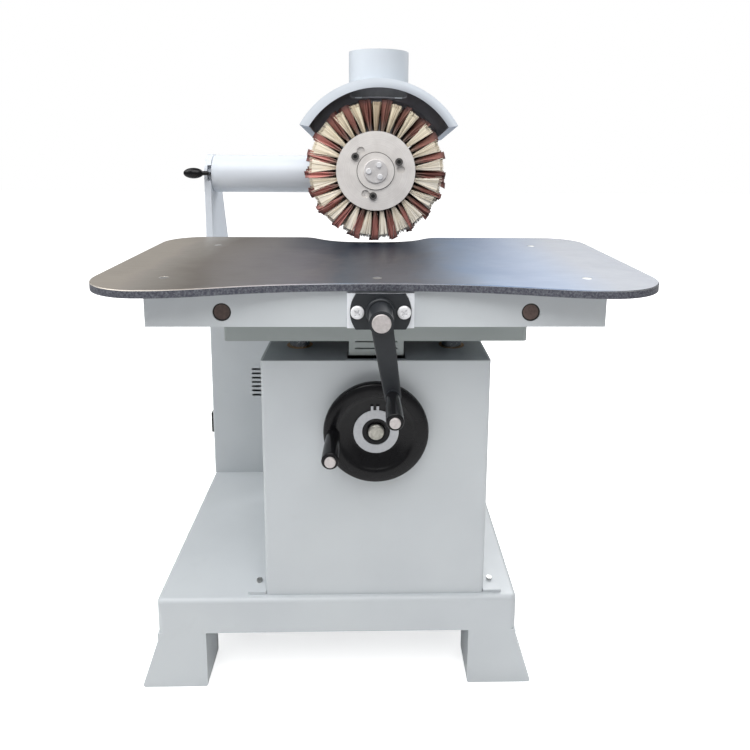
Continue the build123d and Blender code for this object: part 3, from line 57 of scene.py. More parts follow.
camera = bpy.data.objects.new("operator_view", camera_data)
turned_right = Matrix.Rotation(math.radians(-TURN_RIGHT), 4, "Z")
tipped_down = Matrix.Rotation(math.radians(90 - LOOK_DOWN), 4, "X")
rolled = Matrix.Rotation(math.radians(ROLL), 4, "Z")
camera.matrix_world = Matrix.Translation(EYE) @ turned_right @ tipped_down @ rolled
bpy.context.scene.collection.objects.link(camera)
bpy.context.scene.camera = camera
bpy.context.scene.view_settings.view_transform = "Standard"

# Studio: a pale floor that keeps the machine's shadow, a white surround, and three large soft lamps.
# Seen by the camera, the surround is white and the floor grows white away from the machine.
FLOOR_HALF = 12.0
FLOOR_GLOW_REACH, FLOOR_GLOW = (0.6, 2.0), (0.62, 1.0)
SURROUND_LIGHT = 0.30
WHITE = (1.0, 1.0, 1.0, 1.0)
floor_mesh = bpy.data.meshes.new("studio_floor")
floor_corners = [(FLOOR_HALF * x, FLOOR_HALF * y, 0) for x, y in ((-1, -1), (1, -1), (1, 1), (-1, 1))]
floor_mesh.from_pydata(floor_corners, [], [(0, 1, 2, 3)])
floor = bpy.data.objects.new("studio_floor", floor_mesh)
bpy.context.scene.collection.objects.link(floor)


def tint(red, green, blue):
    """Linear colour of a shade given in 8-bit steps: the display curve undone, with full opacity."""
    steps = np.array([red, green, blue]) / 255
    linear = np.where(steps <= 0.04045, steps / 12.92, ((steps + 0.055) / 1.055) ** 2.4)
    return (*linear.tolist(), 1.0)


def add_node(tree, kind, inputs=None, **settings):
    """Add a node to a tree; an input is linked where a socket is given and set where a value is given."""
    made = tree.nodes.new(kind)
    for key, value in settings.items():
        setattr(made, key, value)
    for key, value in (inputs or {}).items():
        if isinstance(value, bpy.types.NodeSocket):
            tree.links.new(value, made.inputs[key])
        else:
            made.inputs[key].default_value = value
    return made


def blank_finish(name, metallic=0.0, specular=0.5, coat=0.0):
    """New material with its tree, its shader and the outputs of its coordinates."""
    material = bpy.data.materials.new(name)
    material.use_nodes = True
    tree = material.node_tree
    shader = tree.nodes["Principled BSDF"]
    shader.inputs["Metallic"].default_value = metallic
    shader.inputs["Specular IOR Level"].default_value = specular
    shader.inputs["Coat Weight"].default_value = coat
    shader.inputs["Coat Roughness"].default_value = 0.12
    return material, tree, shader, add_node(tree, "ShaderNodeTexCoord").outputs


def mottle(tree, vector, scale, detail, roughness=0.5, distortion=0.0):
    """Cloudy value at a place, from 0 to 1."""
    inputs = {"Vector": vector, "Scale": scale, "Detail": detail, "Roughness": roughness}
    return add_node(tree, "ShaderNodeTexNoise", {**inputs, "Distortion": distortion}).outputs["Fac"]


def mix(tree, share, first, second, blend_type="MIX"):
    """Colour on the way from the first colour to the second, by a share."""
    inputs = {"Factor": share, "A": first, "B": second}
    return add_node(tree, "ShaderNodeMix", inputs, data_type="RGBA", blend_type=blend_type).outputs["Result"]


floor_paint, tree, shader, coords = blank_finish("studio_floor", specular=0.1)
shader.inputs["Roughness"].default_value = 0.9
patches = mottle(tree, coords["Object"], scale=1.5, detail=2.0)
tree.links.new(mix(tree, patches, tint(243, 243, 243), tint(247, 247, 247)), shader.inputs["Base Color"])


def rescale(tree, value, source, target=(0.0, 1.0)):
    """Value moved from a source range to a target range and kept inside the target."""
    inputs = {"Value": value, "From Min": source[0], "From Max": source[1]}
    inputs |= {"To Min": target[0], "To Max": target[1]}
    return add_node(tree, "ShaderNodeMapRange", inputs).outputs["Result"]


def reckon(tree, operation, *values, clamp=False):
    """Result of an operation on sockets and numbers."""
    made = add_node(tree, "ShaderNodeMath", dict(enumerate(values)), operation=operation, use_clamp=clamp)
    return made.outputs[0]


def reckon_vector(tree, operation, *vectors):
    """Result of an operation on vectors: a number for a length, distance or dot product, else a vector."""
    made = add_node(tree, "ShaderNodeVectorMath", dict(enumerate(vectors)), operation=operation)
    return made.outputs["Value" if operation in ("LENGTH", "DISTANCE", "DOT_PRODUCT") else "Vector"]


rays = add_node(tree, "ShaderNodeLightPath").outputs
glow = rescale(tree, reckon_vector(tree, "LENGTH", coords["Object"]), FLOOR_GLOW_REACH, FLOOR_GLOW)
shader.inputs["Emission Color"].default_value = WHITE
tree.links.new(reckon(tree, "MULTIPLY", rays["Is Camera Ray"], glow), shader.inputs["Emission Strength"])
floor_mesh.materials.append(floor_paint)

surround = bpy.data.worlds.new("studio_surround")
bpy.context.scene.world = surround
surround.use_nodes = True
tree = surround.node_tree
rays = add_node(tree, "ShaderNodeLightPath").outputs
seen = reckon(tree, "MAXIMUM", rays["Is Camera Ray"], rays["Is Transmission Ray"])
sky = tree.nodes["Background"]
sky.inputs["Color"].default_value = WHITE
tree.links.new(rescale(tree, seen, (0.0, 1.0), (SURROUND_LIGHT, 1.0)), sky.inputs["Strength"])


def hang_lamp(name, place, aim, size, watts):
    """Square soft lamp at a place, turned to shine at a point."""
    data = bpy.data.lights.new(name, "AREA")
    data.size = size
    data.energy = watts
    lamp = bpy.data.objects.new(name, data)
    back = (np.array(place) - np.array(aim)).tolist()
    turn = Vector(back).to_track_quat("Z", "Y").to_matrix().to_4x4()
    lamp.matrix_world = Matrix.Translation(place) @ turn
    bpy.context.scene.collection.objects.link(lamp)


hang_lamp("key_lamp", place=(-0.1, -1.7, 3.4), aim=(0.0, 0.0, 0.8), size=2.6, watts=86.0)
hang_lamp("side_lamp", place=(-2.6, -0.4, 3.4), aim=(0.0, 0.0, 0.7), size=2.6, watts=76.0)
hang_lamp("rear_lamp", place=(1.5, 2.2, 2.9), aim=(0.0, 0.0, 0.8), size=2.2, watts=84.0)

# Base: a thick steel deck plate on welded skirt plates, standing on four cast feet that flare out
# to the floor. All of it carries the machine's light grey-blue spray paint.
COLOR, VALUE, VECTOR = "NodeSocketColor", "NodeSocketFloat", "NodeSocketVector"
PAINT_COAT, PEEL_BUMP, BUMP_HEIGHT = 0.15, 0.08, 0.0004


def skin_group(name, **inputs):
    """Empty shader group with the named inputs, and with colour, roughness and height as outputs."""
    group = bpy.data.node_groups.new(name, "ShaderNodeTree")
    for label, kind in inputs.items():
        group.interface.new_socket(label, in_out="INPUT", socket_type=kind)
    for label, kind in (("Color", COLOR), ("Roughness", VALUE), ("Height", VALUE)):
        group.interface.new_socket(label, in_out="OUTPUT", socket_type=kind)
    return group, group.nodes.new("NodeGroupInput").outputs


def end_group(group, **results):
    """Link a group's results to its outputs of the same names."""
    end = group.nodes.new("NodeGroupOutput")
    for label, socket in results.items():
        group.links.new(socket, end.inputs[label])


# Sprayed paint: a broad cloudy shade, faint rubbed patches, and an orange peel of about two millimetres.
spray, start = skin_group("spray_paint", Vector=VECTOR, Tone=COLOR, Shade=COLOR, Grime=COLOR)
cloud = mottle(spray, start["Vector"], scale=3.2, detail=3.0, roughness=0.55)
body = mix(spray, rescale(spray, cloud, (0.35, 0.68)), start["Tone"], start["Shade"])
smear = mottle(spray, start["Vector"], scale=11.0, detail=6.0, roughness=0.7, distortion=0.6)
soiled = mix(spray, rescale(spray, smear, (0.60, 0.86), (0.0, 0.30)), body, start["Grime"])
gloss = rescale(spray, smear, (0.3, 0.75), (0.34, 0.50))
peel = mottle(spray, start["Vector"], scale=420.0, detail=2.0)
end_group(spray, Color=soiled, Roughness=gloss, Height=peel)


def lay_skin(tree, group, **inputs):
    """Put a shader group into a material with its own values, and give its outputs."""
    return add_node(tree, "ShaderNodeGroup", inputs, node_tree=group).outputs


def wire_finish(tree, shader, color, roughness, height, bump):
    """Link colour, roughness and a bump of the given strength to the shader."""
    raised = add_node(tree, "ShaderNodeBump", {"Height": height, "Strength": bump, "Distance": BUMP_HEIGHT})
    tree.links.new(color, shader.inputs["Base Color"])
    tree.links.new(roughness, shader.inputs["Roughness"])
    tree.links.new(raised.outputs["Normal"], shader.inputs["Normal"])


def wire_skin(tree, shader, skin, bump, color=None):
    """Link a skin's outputs to the shader, with another colour in place of its own where one is given."""
    shown = skin["Color"] if color is None else color
    wire_finish(tree, shader, shown, skin["Roughness"], skin["Height"], bump)


def paint_film(name, tone, shade, grime):
    """New material with its tree, its shader, its coordinates and a film of spray paint."""
    material, tree, shader, coords = blank_finish(name, coat=PAINT_COAT)
    film = lay_skin(tree, spray, Vector=coords["Object"], Tone=tone, Shade=shade, Grime=grime)
    return material, tree, shader, coords, film


def sprayed(name, tone, shade, grime):
    """Spray painted metal in one colour."""
    material, tree, shader, _, film = paint_film(name, tone, shade, grime)
    wire_skin(tree, shader, film, PEEL_BUMP)
    return material


def dress(material, *nodes):
    """Give carried solids one finish."""
    for name in nodes:
        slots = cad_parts[name].data.materials
        slots.clear()
        slots.append(material)


machine_paint = sprayed("machine_paint", tint(200, 205, 208), tint(193, 198, 202), tint(180, 184, 186))
dress(machine_paint, "base_frame", "foot_front_left", "foot_front_right", "foot_rear_left", "foot_rear_right")

# Pedestal: a box of sheet walls bolted down by side flanges, with a top plate let in, painted dark for oil
# and as painted shade under the saddle.
# Four bronze bushes in the plate guide the saddle; a cast bracket inside carries the lifting screw.
dress(machine_paint, "pedestal_casing")
# The top plate's darker paint is partly oil and partly painted shade from the saddle and table above.
oil_and_shade_paint = sprayed("oil_and_shade_paint", tint(158, 162, 168), tint(140, 146, 152), tint(104, 110, 118))
dress(oil_and_shade_paint, "pedestal_top_plate")

# Cast or turned metal: fine pores and a broad cloud over one colour.
casting, start = skin_group("cast_metal", Vector=VECTOR, Tone=COLOR, Dark=COLOR, Dullness=VALUE)
pores = mottle(casting, start["Vector"], scale=180.0, detail=5.0, roughness=0.65)
cloud = mottle(casting, start["Vector"], scale=14.0, detail=4.0)
share = rescale(casting, reckon(casting, "MULTIPLY", pores, cloud), (0.16, 0.36))
tone = mix(casting, share, start["Dark"], start["Tone"])
rough = reckon(casting, "MULTIPLY_ADD", pores, 0.25, start["Dullness"])
end_group(casting, Color=tone, Roughness=rough, Height=pores)


def cast(name, tone, dark, dull, metallic, bump=0.2):
    """Cast, rolled or turned bare metal with fine pores."""
    material, tree, shader, coords = blank_finish(name, metallic=metallic)
    skin = lay_skin(tree, casting, Vector=coords["Object"], Tone=tone, Dark=dark, Dullness=dull)
    wire_skin(tree, shader, skin, bump)
    return material


bronze = cast("bronze", tint(176, 140, 92), tint(132, 98, 60), dull=0.25, metallic=1.0)
dress(bronze, "guide_bushes")
machined_iron = cast("machined_iron", tint(112, 116, 118), tint(74, 78, 80), dull=0.35, metallic=0.6)
dress(machined_iron, "lift_bracket")

# Column: a tall sheet box behind the pedestal with cooling slots in front and a bolted door behind.
# The thick upright on its top is flame cut plate, welded to a foot flange and rounded at the tilt axis.
dress(machine_paint, "column_casing", "column_door")
# The upright and the tube take a paler, bluer copy of the machine paint: painted light for the stronger light
# on them.
lit_upright_paint = sprayed("lit_upright_paint", tint(208, 214, 222), tint(207, 213, 221), tint(190, 195, 201))
dress(lit_upright_paint, "upright")
zinc = cast("zinc", tint(206, 206, 204), tint(160, 160, 158), dull=0.18, metallic=0.9, bump=0.1)
dress(zinc, "frame_bolts")

# Switch: a moulded plate let into the column's left side, with a green and a red button.
# The gland low on the right side is where the mains lead would enter.
moulding, start = skin_group("moulding", Vector=VECTOR, Tone=COLOR, Worn=COLOR, Dullness=VALUE)
spark = mottle(moulding, start["Vector"], scale=700.0, detail=2.0)
touch = mottle(moulding, start["Vector"], scale=22.0, detail=6.0, roughness=0.65)
tone = mix(moulding, rescale(moulding, touch, (0.45, 0.8), (0.0, 0.6)), start["Tone"], start["Worn"])
rough = reckon(moulding, "MULTIPLY_ADD", touch, 0.16, start["Dullness"])
end_group(moulding, Color=tone, Roughness=rough, Height=spark)


def moulded(name, tone, worn, dull, bump=0.05, specular=0.4):
    """Moulded plastic or stoved enamel, dulled in patches by handling."""
    material, tree, shader, coords = blank_finish(name, specular=specular)
    skin = lay_skin(tree, moulding, Vector=coords["Object"], Tone=tone, Worn=worn, Dullness=dull)
    wire_skin(tree, shader, skin, bump)
    return material


switch_plastic = moulded("switch_moulding", tint(46, 47, 49), tint(58, 59, 61), dull=0.38, bump=0.2)
dress(switch_plastic, "switch_body", "cable_gland")
dress(moulded("start_green", tint(40, 140, 74), tint(52, 150, 84), dull=0.2), "start_button")
dress(moulded("stop_red", tint(188, 36, 32), tint(198, 52, 46), dull=0.2), "stop_button")

# Tilt lock: a bent rod that runs in the arc slot of the upright's boss, with an oval knob moulded on its
# end. Rod and knob are both glossy black.
black_gloss = moulded("black_gloss", tint(17, 17, 19), tint(27, 27, 29), dull=0.14, specular=0.22)
dress(black_gloss, "lock_lever")

# Saddle: a thick cast plate with a lifting block under it. Four ground columns slide in the pedestal's
# bushes, bronze nuts take the lifting and the feed screw, and iron blocks on top carry the guide bars.
saddle_paint = sprayed("saddle_paint", tint(168, 175, 174), tint(154, 162, 161), tint(128, 134, 134))
dress(saddle_paint, "saddle")
steel_shades = (tint(200, 202, 205), tint(160, 163, 168))
ground_steel = cast("ground_steel", *steel_shades, dull=0.12, metallic=1.0, bump=0.04)
dress(ground_steel, "guide_columns", "lift_screw", "bevel_gear")
dress(bronze, "lift_nut", "feed_nut")
dress(machined_iron, "bar_bearings")

# Table frame: a square tube apron in front with a pad for the crank, its face painted near white as a painted
# highlight, and two rails behind it.
# The guide bars show as browned round ends in the apron's face, each ringed by a painted shadow of the gap
# round it.
PAD_THICKNESS, PAD_MARGIN = 0.008, 0.0005
BAR_RADIUS, GAP_SHADOW_RADIUS = 0.0165, 0.0138


def edges(node):
    """Edges and middle of a carried solid's box at rest, to a tenth of a millimetre."""
    low, high = np.array(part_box(node))
    left, front, foot = np.round(low, 4).tolist()
    right, rear, top = np.round(high, 4).tolist()
    middle = np.round((low + high) / 2, 4).tolist()
    return SimpleNamespace(left=left, right=right, front=front, rear=rear, foot=foot, top=top, middle=middle)


def parts_of(tree, vector):
    """The X, Y and Z outputs of a vector."""
    return add_node(tree, "ShaderNodeSeparateXYZ", {"Vector": vector}).outputs


def vector_of(tree, **parts):
    """Vector with the named parts, and nought for the others."""
    return add_node(tree, "ShaderNodeCombineXYZ", parts).outputs[0]


dress(machine_paint, "table_rails")
apron_shades = (tint(205, 210, 213), tint(198, 203, 207), tint(184, 188, 190))
apron_paint, tree, shader, coords, film = paint_film("apron_paint", *apron_shades)
apron_face = edges("table_apron").front + PAD_THICKNESS
# The pad's face is painted near white: painted light that lifts it out of the shade under the table.
lit_pad = reckon(tree, "LESS_THAN", parts_of(tree, coords["Object"])["Y"], apron_face - PAD_MARGIN)
wire_skin(tree, shader, film, PEEL_BUMP, mix(tree, lit_pad, film["Color"], tint(240, 243, 248)))
dress(apron_paint, "table_apron")
browned, tree, shader, coords = blank_finish("browned_steel", metallic=0.3)
bar_shades = {"Tone": tint(104, 86, 80), "Dark": tint(76, 62, 58)}
skin = lay_skin(tree, casting, Vector=coords["Object"], **bar_shades, Dullness=0.32)
place = parts_of(tree, coords["Object"])
flat = vector_of(tree, X=reckon(tree, "ABSOLUTE", place["X"]), Z=place["Z"])
bars = edges("guide_bars")
reach = reckon_vector(tree, "DISTANCE", flat, (bars.right - BAR_RADIUS, 0.0, bars.middle[2]))
# A near-black ring is painted round each bar's end: the painted shadow of the gap in the apron's hole.
in_gap_shadow = reckon(tree, "GREATER_THAN", reach, GAP_SHADOW_RADIUS)
wire_skin(tree, shader, skin, 0.2, mix(tree, in_gap_shadow, skin["Color"], tint(34, 32, 31)))
dress(browned, "guide_bars")

# Table top: a ground steel plate, dark and satin, with a painted highlight along its upper arris and a
# speckled flame cut edge below it. Reflections are painted on it: brownish on the left and bluish on the
# right.
ARRIS_HIGHLIGHT_HEIGHT = 0.0015
REFLECTION_LEFT, REFLECTION_RIGHT, REFLECTION_DRIFT = -0.395, 0.525, 0.16
MIRRORED_BRUSH_SHIFT, MIRRORED_BRUSH_STRETCH = (0.27, -0.4, 0.0), (6.5, 5.2, 0.0)
GRIND_STRETCH = (18.0, 420.0, 1.0)


def ramp(tree, share, stops):
    """Colour along a row of stops, each a position with its colour."""
    made = add_node(tree, "ShaderNodeValToRGB", {"Fac": share})
    elements = made.color_ramp.elements
    elements[0].position, elements[0].color = stops[0]
    elements[1].position, elements[1].color = stops[-1]
    for position, shade in stops[1:-1]:
        elements.new(position).color = shade
    return made.outputs["Color"]


table_finish, tree, shader, coords = blank_finish("table_steel", metallic=0.75)
place = parts_of(tree, coords["Object"])
drift = mottle(tree, coords["Object"], scale=4.5, detail=5.0, roughness=0.6, distortion=0.4)
across = reckon(tree, "MULTIPLY_ADD", drift, REFLECTION_DRIFT, place["X"])
# Painted reflections across the top: brownish on the left, bluish grey in the middle and on the right.
reflection_stops = (
    (0.03, tint(197, 192, 184)),
    (0.16, tint(147, 140, 133)),
    (0.25, tint(155, 150, 149)),
    (0.36, tint(150, 147, 153)),
    (0.45, tint(104, 115, 129)),
    (0.52, tint(109, 110, 118)),
    (0.58, tint(106, 109, 119)),
    (0.65, tint(98, 109, 126)),
    (0.72, tint(92, 112, 139)),
    (0.79, tint(88, 106, 133)),
    (0.86, tint(100, 115, 138)),
    (0.97, tint(120, 125, 134)),
)
painted_reflection = ramp(tree, rescale(tree, across, (REFLECTION_LEFT, REFLECTION_RIGHT)), reflection_stops)
# A dark blue patch at the rear middle: the painted reflection of the brush above.
mirrored_brush_place = {"Vector": coords["Object"], "Location": MIRRORED_BRUSH_SHIFT, "Scale": MIRRORED_BRUSH_STRETCH}
mirrored_brush_at = add_node(tree, "ShaderNodeMapping", mirrored_brush_place).outputs["Vector"]
mirrored_brush = rescale(tree, reckon_vector(tree, "LENGTH", mirrored_brush_at), (0.35, 1.3), (0.92, 0.0))
with_mirrored_brush = mix(tree, mirrored_brush, painted_reflection, tint(48, 66, 90))
grind = add_node(tree, "ShaderNodeMapping", {"Vector": coords["Object"], "Scale": GRIND_STRETCH})
scratch = mottle(tree, grind.outputs["Vector"], scale=1.0, detail=4.0, roughness=0.6)
face_tone = mix(tree, scratch, with_mirrored_brush, tint(150, 148, 146), blend_type="OVERLAY")
speck = mottle(tree, coords["Object"], scale=260.0, detail=4.0, roughness=0.7)
cut_tone = mix(tree, rescale(tree, speck, (0.42, 0.72)), tint(84, 86, 96), tint(140, 142, 150))
# The top of the cut edge is painted near white: a painted highlight along the arris.
arris_highlight = reckon(tree, "GREATER_THAN", place["Z"], edges("table_top").top - ARRIS_HIGHLIGHT_HEIGHT)
edge_tone = mix(tree, arris_highlight, cut_tone, tint(240, 239, 238))
upward = reckon(tree, "GREATER_THAN", parts_of(tree, coords["Normal"])["Z"], 0.5)
polish = rescale(tree, drift, (0.3, 0.7), (0.36, 0.50))
wire_finish(tree, shader, mix(tree, upward, edge_tone, face_tone), polish, scratch, 0.12)
dress(table_finish, "table_top")
dress(zinc, "table_screws")

# Crank: a black enamelled flange with two flats, held by two cross recessed screws, carries the feed
# screw's end. The enamelled arm hangs from its hub, and a moulded grip turns on a pin with a bright cap.
crank_enamel = moulded("crank_enamel", tint(36, 39, 43), tint(46, 49, 53), dull=0.32, specular=0.45)
dress(crank_enamel, "crank_flange", "crank_arm")
dress(black_gloss, "crank_grip")
dress(ground_steel, "feed_screw")
cap_metal = cast("cap_metal", tint(206, 200, 199), tint(184, 178, 177), dull=0.3, metallic=0.35, bump=0.05)
dress(cap_metal, "crank_hub_cap", "crank_grip_pin")

# Crank flange screws: zinc plated screws whose low domed heads are struck with a cross recess. The head's
# height falls away where a point lies in one of the two arms of the cross.
HEAD_RADIUS, HEAD_HEIGHT, HEAD_RIM, SHANK_RADIUS = 0.012, 0.006, 0.45, 0.005
CROSS_HALF_WIDTH, CROSS_REACH, CROSS_DEPTH, CROSS_TURN = 0.0013, 0.0064, 0.0028, np.radians(38)
CROSS_WALL, CROSS_END = 0.0004, 0.0008
HEAD_STEPS, HEAD_RINGS = 96, 36


def grid_faces(rows, columns, close_rows=False, close_columns=False):
    """Quads between neighbours on a grid of points numbered row by row, joined end to end where closed."""
    row = np.arange(rows if close_rows else rows - 1)[:, None]
    column = np.arange(columns if close_columns else columns - 1)[None, :]
    below, beside = (row + 1) % rows, (column + 1) % columns
    near, far = row * columns, below * columns
    corners = np.broadcast_arrays(near + column, near + beside, far + beside, far + column)
    return np.stack(corners, -1).reshape(-1, 4)


def strand_faces(count, rings, sides, first=0):
    """Faces of many separate strands: walls along each strand, and a flat cap at each of its ends."""
    start = first + np.arange(count)[:, None, None] * rings * sides
    walls = grid_faces(rings, sides, close_columns=True)[None] + start
    loop = np.arange(sides)
    caps = np.stack([loop[::-1], loop + (rings - 1) * sides])[None] + start
    return walls.reshape(-1, 4), caps.reshape(-1, sides)


def add_piece(name, points, faces, material, body, smooth=True):
    """Mesh piece from point and face arrays, riding on a body and taking its finish from a slot."""
    mesh = bpy.data.meshes.new(name)
    mesh.from_pydata(points.reshape(-1, 3).tolist(), [], [face for block in faces for face in block.tolist()])
    mesh.polygons.foreach_set("use_smooth", np.full(len(mesh.polygons), smooth))
    mesh.materials.append(material)
    piece = bpy.data.objects.new(name, mesh)
    bpy.context.scene.collection.objects.link(piece)
    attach(piece, body)
    return piece


# Screw heads get a near-white, barely metallic zinc: bright zinc with a painted glint in its colour.
zinc_shades = (tint(246, 246, 248), tint(228, 228, 230))
glinting_zinc = cast("glinting_zinc", *zinc_shades, dull=0.2, metallic=0.15, bump=0.05)
head_turn = np.linspace(0, 2 * np.pi, HEAD_STEPS, endpoint=False)
head_radius = HEAD_RADIUS * np.concatenate([np.linspace(0.03, 0.95, HEAD_RINGS), [0.985, 1.0, 1.0]])
head_radius = np.concatenate([head_radius, [SHANK_RADIUS, SHANK_RADIUS]])[:, None]
head_x = head_radius * np.cos(head_turn)
head_z = -head_radius * np.sin(head_turn)
dome = np.sqrt(np.clip(1 - (head_radius / HEAD_RADIUS) ** 4, 0, 1))
head_rise = HEAD_HEIGHT * (HEAD_RIM + (1 - HEAD_RIM) * dome) + 0 * head_x
cross_x = np.abs(head_radius * np.cos(head_turn - CROSS_TURN))
cross_z = np.abs(head_radius * np.sin(head_turn - CROSS_TURN))
in_arm = np.clip((CROSS_HALF_WIDTH - np.minimum(cross_x, cross_z)) / CROSS_WALL, 0, 1)
within_reach = np.clip((CROSS_REACH - np.maximum(cross_x, cross_z)) / CROSS_END, 0, 1)
head_rise -= CROSS_DEPTH * in_arm * within_reach
screws = edges("crank_flange_screws")
seat = screws.front + HEAD_HEIGHT
head_rise[-3:] = np.array([0.0, 0.0, seat - screws.rear])[:, None]
screw_x = np.array([screws.left + HEAD_RADIUS, screws.right - HEAD_RADIUS])[:, None, None] + head_x
screw_points = np.stack(np.broadcast_arrays(screw_x, seat - head_rise, screws.middle[2] + head_z), -1)
screw_faces = strand_faces(len(screw_x), *head_x.shape)
pan_heads = add_piece("cross_screws", screw_points, screw_faces, glinting_zinc, "table")
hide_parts("crank_flange_screws")

# Handwheel: a dished wheel moulded in glossy black, pressed on the shaft and held by one bolt.
# A pale ring is let into its sunk hub, two bright prongs stand out above it, and its grip turns on a pin.
wheel_box = edges("handwheel")
WHEEL_CENTRE = (wheel_box.middle[0], edges("handwheel_ring").front, wheel_box.middle[2])
WHEEL_STEPS, CORNER_PASSES = 128, 3
wheel_profile = (
    (12.6, 17), (30, 17), (46, 17), (47, 12), (60, 9.4), (70, 7.6), (76, 10.4),
    (84, 11.6), (94, 11), (103.6, 7.6), (103.6, -7.6), (94, -11), (84, -11.6),
    (77, -10.6), (71, -6.2), (60, -2.6), (48.5, 1.6), (45, 2), (12.6, 2),
)
PRONG_LEFTS, PRONG_WIDTH = np.array([-0.0105, 0.0005]), 0.005
PRONG_FEET, PRONG_TIPS, PRONG_DEPTH = 0.0435, 0.0545, 0.0016
PRONG_FOOT_Y, PRONG_SLOPE = -0.0006, 0.346


def cut_corners(profile, passes):
    """Closed profile with each corner cut a quarter of the way along both its runs, several times over."""
    loop = np.array(profile, float)
    for _ in range(passes):
        ahead = np.roll(loop, -1, axis=0)
        loop = np.stack([0.75 * loop + 0.25 * ahead, 0.25 * loop + 0.75 * ahead], 1).reshape(-1, 2)
    return loop


def turned(profile, centre, steps):
    """Ring of a closed profile in millimetres swung round the Y axis: a radius and a depth at each angle."""
    radius, depth = np.array(profile, float).T / 1000
    angle = np.linspace(0, 2 * np.pi, steps, endpoint=False)
    across = radius[:, None] * np.cos(angle)
    rise = radius[:, None] * np.sin(angle)
    points = np.stack([centre[0] + across, centre[1] + depth[:, None] + 0 * across, centre[2] + rise], -1)
    return points, grid_faces(len(profile), steps, close_rows=True, close_columns=True)


wheel_points, wheel_faces = turned(cut_corners(wheel_profile, CORNER_PASSES), WHEEL_CENTRE, WHEEL_STEPS)
wheel = add_piece(
    "handwheel_moulding", wheel_points, [wheel_faces], black_gloss, "handwheel"
)
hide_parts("handwheel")
dress(black_gloss, "handwheel_grip", "shaft_housing")
dress(cap_metal, "handwheel_grip_pin")
ring_shades = (tint(190, 192, 195), tint(174, 176, 180))
ring_metal = cast("ring_metal", *ring_shades, dull=0.3, metallic=0.35, bump=0.05)
dress(ring_metal, "handwheel_ring")
bolt_zinc = cast("bolt_zinc", tint(206, 204, 196), tint(150, 148, 140), dull=0.2, metallic=0.85)
dress(bolt_zinc, "handwheel_bolt")
dress(ground_steel, "handwheel_shaft")
prong_x = (PRONG_LEFTS[:, None, None] + PRONG_WIDTH * np.array([0, 1, 1, 0])) * np.ones((1, 2, 1))
prong_reach = np.array([PRONG_FEET, PRONG_TIPS])[None, :, None] * np.ones((2, 1, 4))
prong_y = PRONG_FOOT_Y - PRONG_SLOPE * (prong_reach - PRONG_FEET) + PRONG_DEPTH * np.array([0, 0, 1, 1])
prong_points = np.stack([prong_x, prong_y, prong_reach], -1) + np.array(WHEEL_CENTRE)
prong_faces = strand_faces(len(PRONG_LEFTS), 2, 4)
add_piece("hub_prongs", prong_points, prong_faces, ring_metal, "handwheel", smooth=False)

# Head: a painted tube turns in the upright on a stub shaft, kept by a steel collar, and carries the
# motor. The motor is a finned casting with a slotted cowl behind; rotor and bearings sit inside it.
# The tube carries the same paler copy of the paint: painted light.
dress(lit_upright_paint, "pivot_tube")
dress(machine_paint, "motor_housing", "motor_end_cover")
dress(ground_steel, "pivot_collar", "spindle", "spindle_bearings")
dress(cast("laminations", tint(120, 108, 92), tint(84, 74, 62), dull=0.4, metallic=0.3), "stator")

# Hood: rolled sheet over the brush with a flat rim in front, painted a shade paler than the machine.
# Its inside is painted dark as painted shade blotched with dust, its two ends are folded in as narrow lips
# painted a bluish shade, and the rim is painted darker inwards and to the right as painted shade.
HEAD_AXIS_Z = edges("brush_flange").middle[2]
hood_box = edges("hood")
RIM_DEPTH, LIP_FROM_X = 0.01, 0.125
RIM_RADII, RIM_SIDES = (0.186, 0.208), (-0.06, 0.06)
hood_shades = (tint(221, 228, 235), tint(213, 220, 228), tint(192, 198, 204))
hood_paint, tree, shader, coords, film = paint_film("hood_paint", *hood_shades)
place = parts_of(tree, coords["Object"])
facing = parts_of(tree, coords["Normal"])
across = reckon(tree, "SUBTRACT", place["X"], hood_box.middle[0])
outward = vector_of(tree, X=across, Z=reckon(tree, "SUBTRACT", place["Z"], HEAD_AXIS_Z))
inner = reckon(tree, "LESS_THAN", reckon_vector(tree, "DOT_PRODUCT", outward, coords["Normal"]), -0.05)
ahead = reckon(tree, "LESS_THAN", facing["Y"], -0.8)
behind_rim = reckon(tree, "GREATER_THAN", place["Y"], hood_box.front + RIM_DEPTH)
inside = reckon(tree, "MAXIMUM", inner, reckon(tree, "MULTIPLY", ahead, behind_rim))
wide = reckon(tree, "GREATER_THAN", reckon(tree, "ABSOLUTE", across), LIP_FROM_X)
lip = reckon(tree, "MULTIPLY", wide, reckon(tree, "LESS_THAN", facing["Z"], -0.88))
hidden = reckon(tree, "SUBTRACT", inside, lip, clamp=True)


def shade_and_dust_tone(tree, vector, dark, pale):
    """Blotchy dark colour between a dark and a pale one: painted shade with settled dust."""
    return mix(tree, mottle(tree, vector, scale=26.0, detail=6.0, roughness=0.7), dark, pale)


# The rim's face is painted darker towards the inside and more on the right: painted shade.
rim_share = rescale(tree, reckon_vector(tree, "LENGTH", outward), RIM_RADII, (1.0, 0.0))
rim_side = rescale(tree, across, RIM_SIDES, (0.25, 0.9))
rim_shade = reckon(tree, "MULTIPLY", reckon(tree, "MULTIPLY", rim_share, ahead), rim_side)
shaded_rim_tone = mix(tree, rim_shade, film["Color"], tint(126, 131, 141))
# The lips' undersides are painted pale blue: painted shade lit by bluish skylight.
lip_shade_tone = mix(tree, lip, shaded_rim_tone, tint(150, 168, 192))
# The inside of the hood is painted dark: painted shade, blotched like dust.
inside_shade_tone = shade_and_dust_tone(tree, coords["Object"], tint(124, 124, 132), tint(166, 166, 174))
wire_skin(tree, shader, film, PEEL_BUMP, mix(tree, hidden, lip_shade_tone, inside_shade_tone))
dress(hood_paint, "hood")

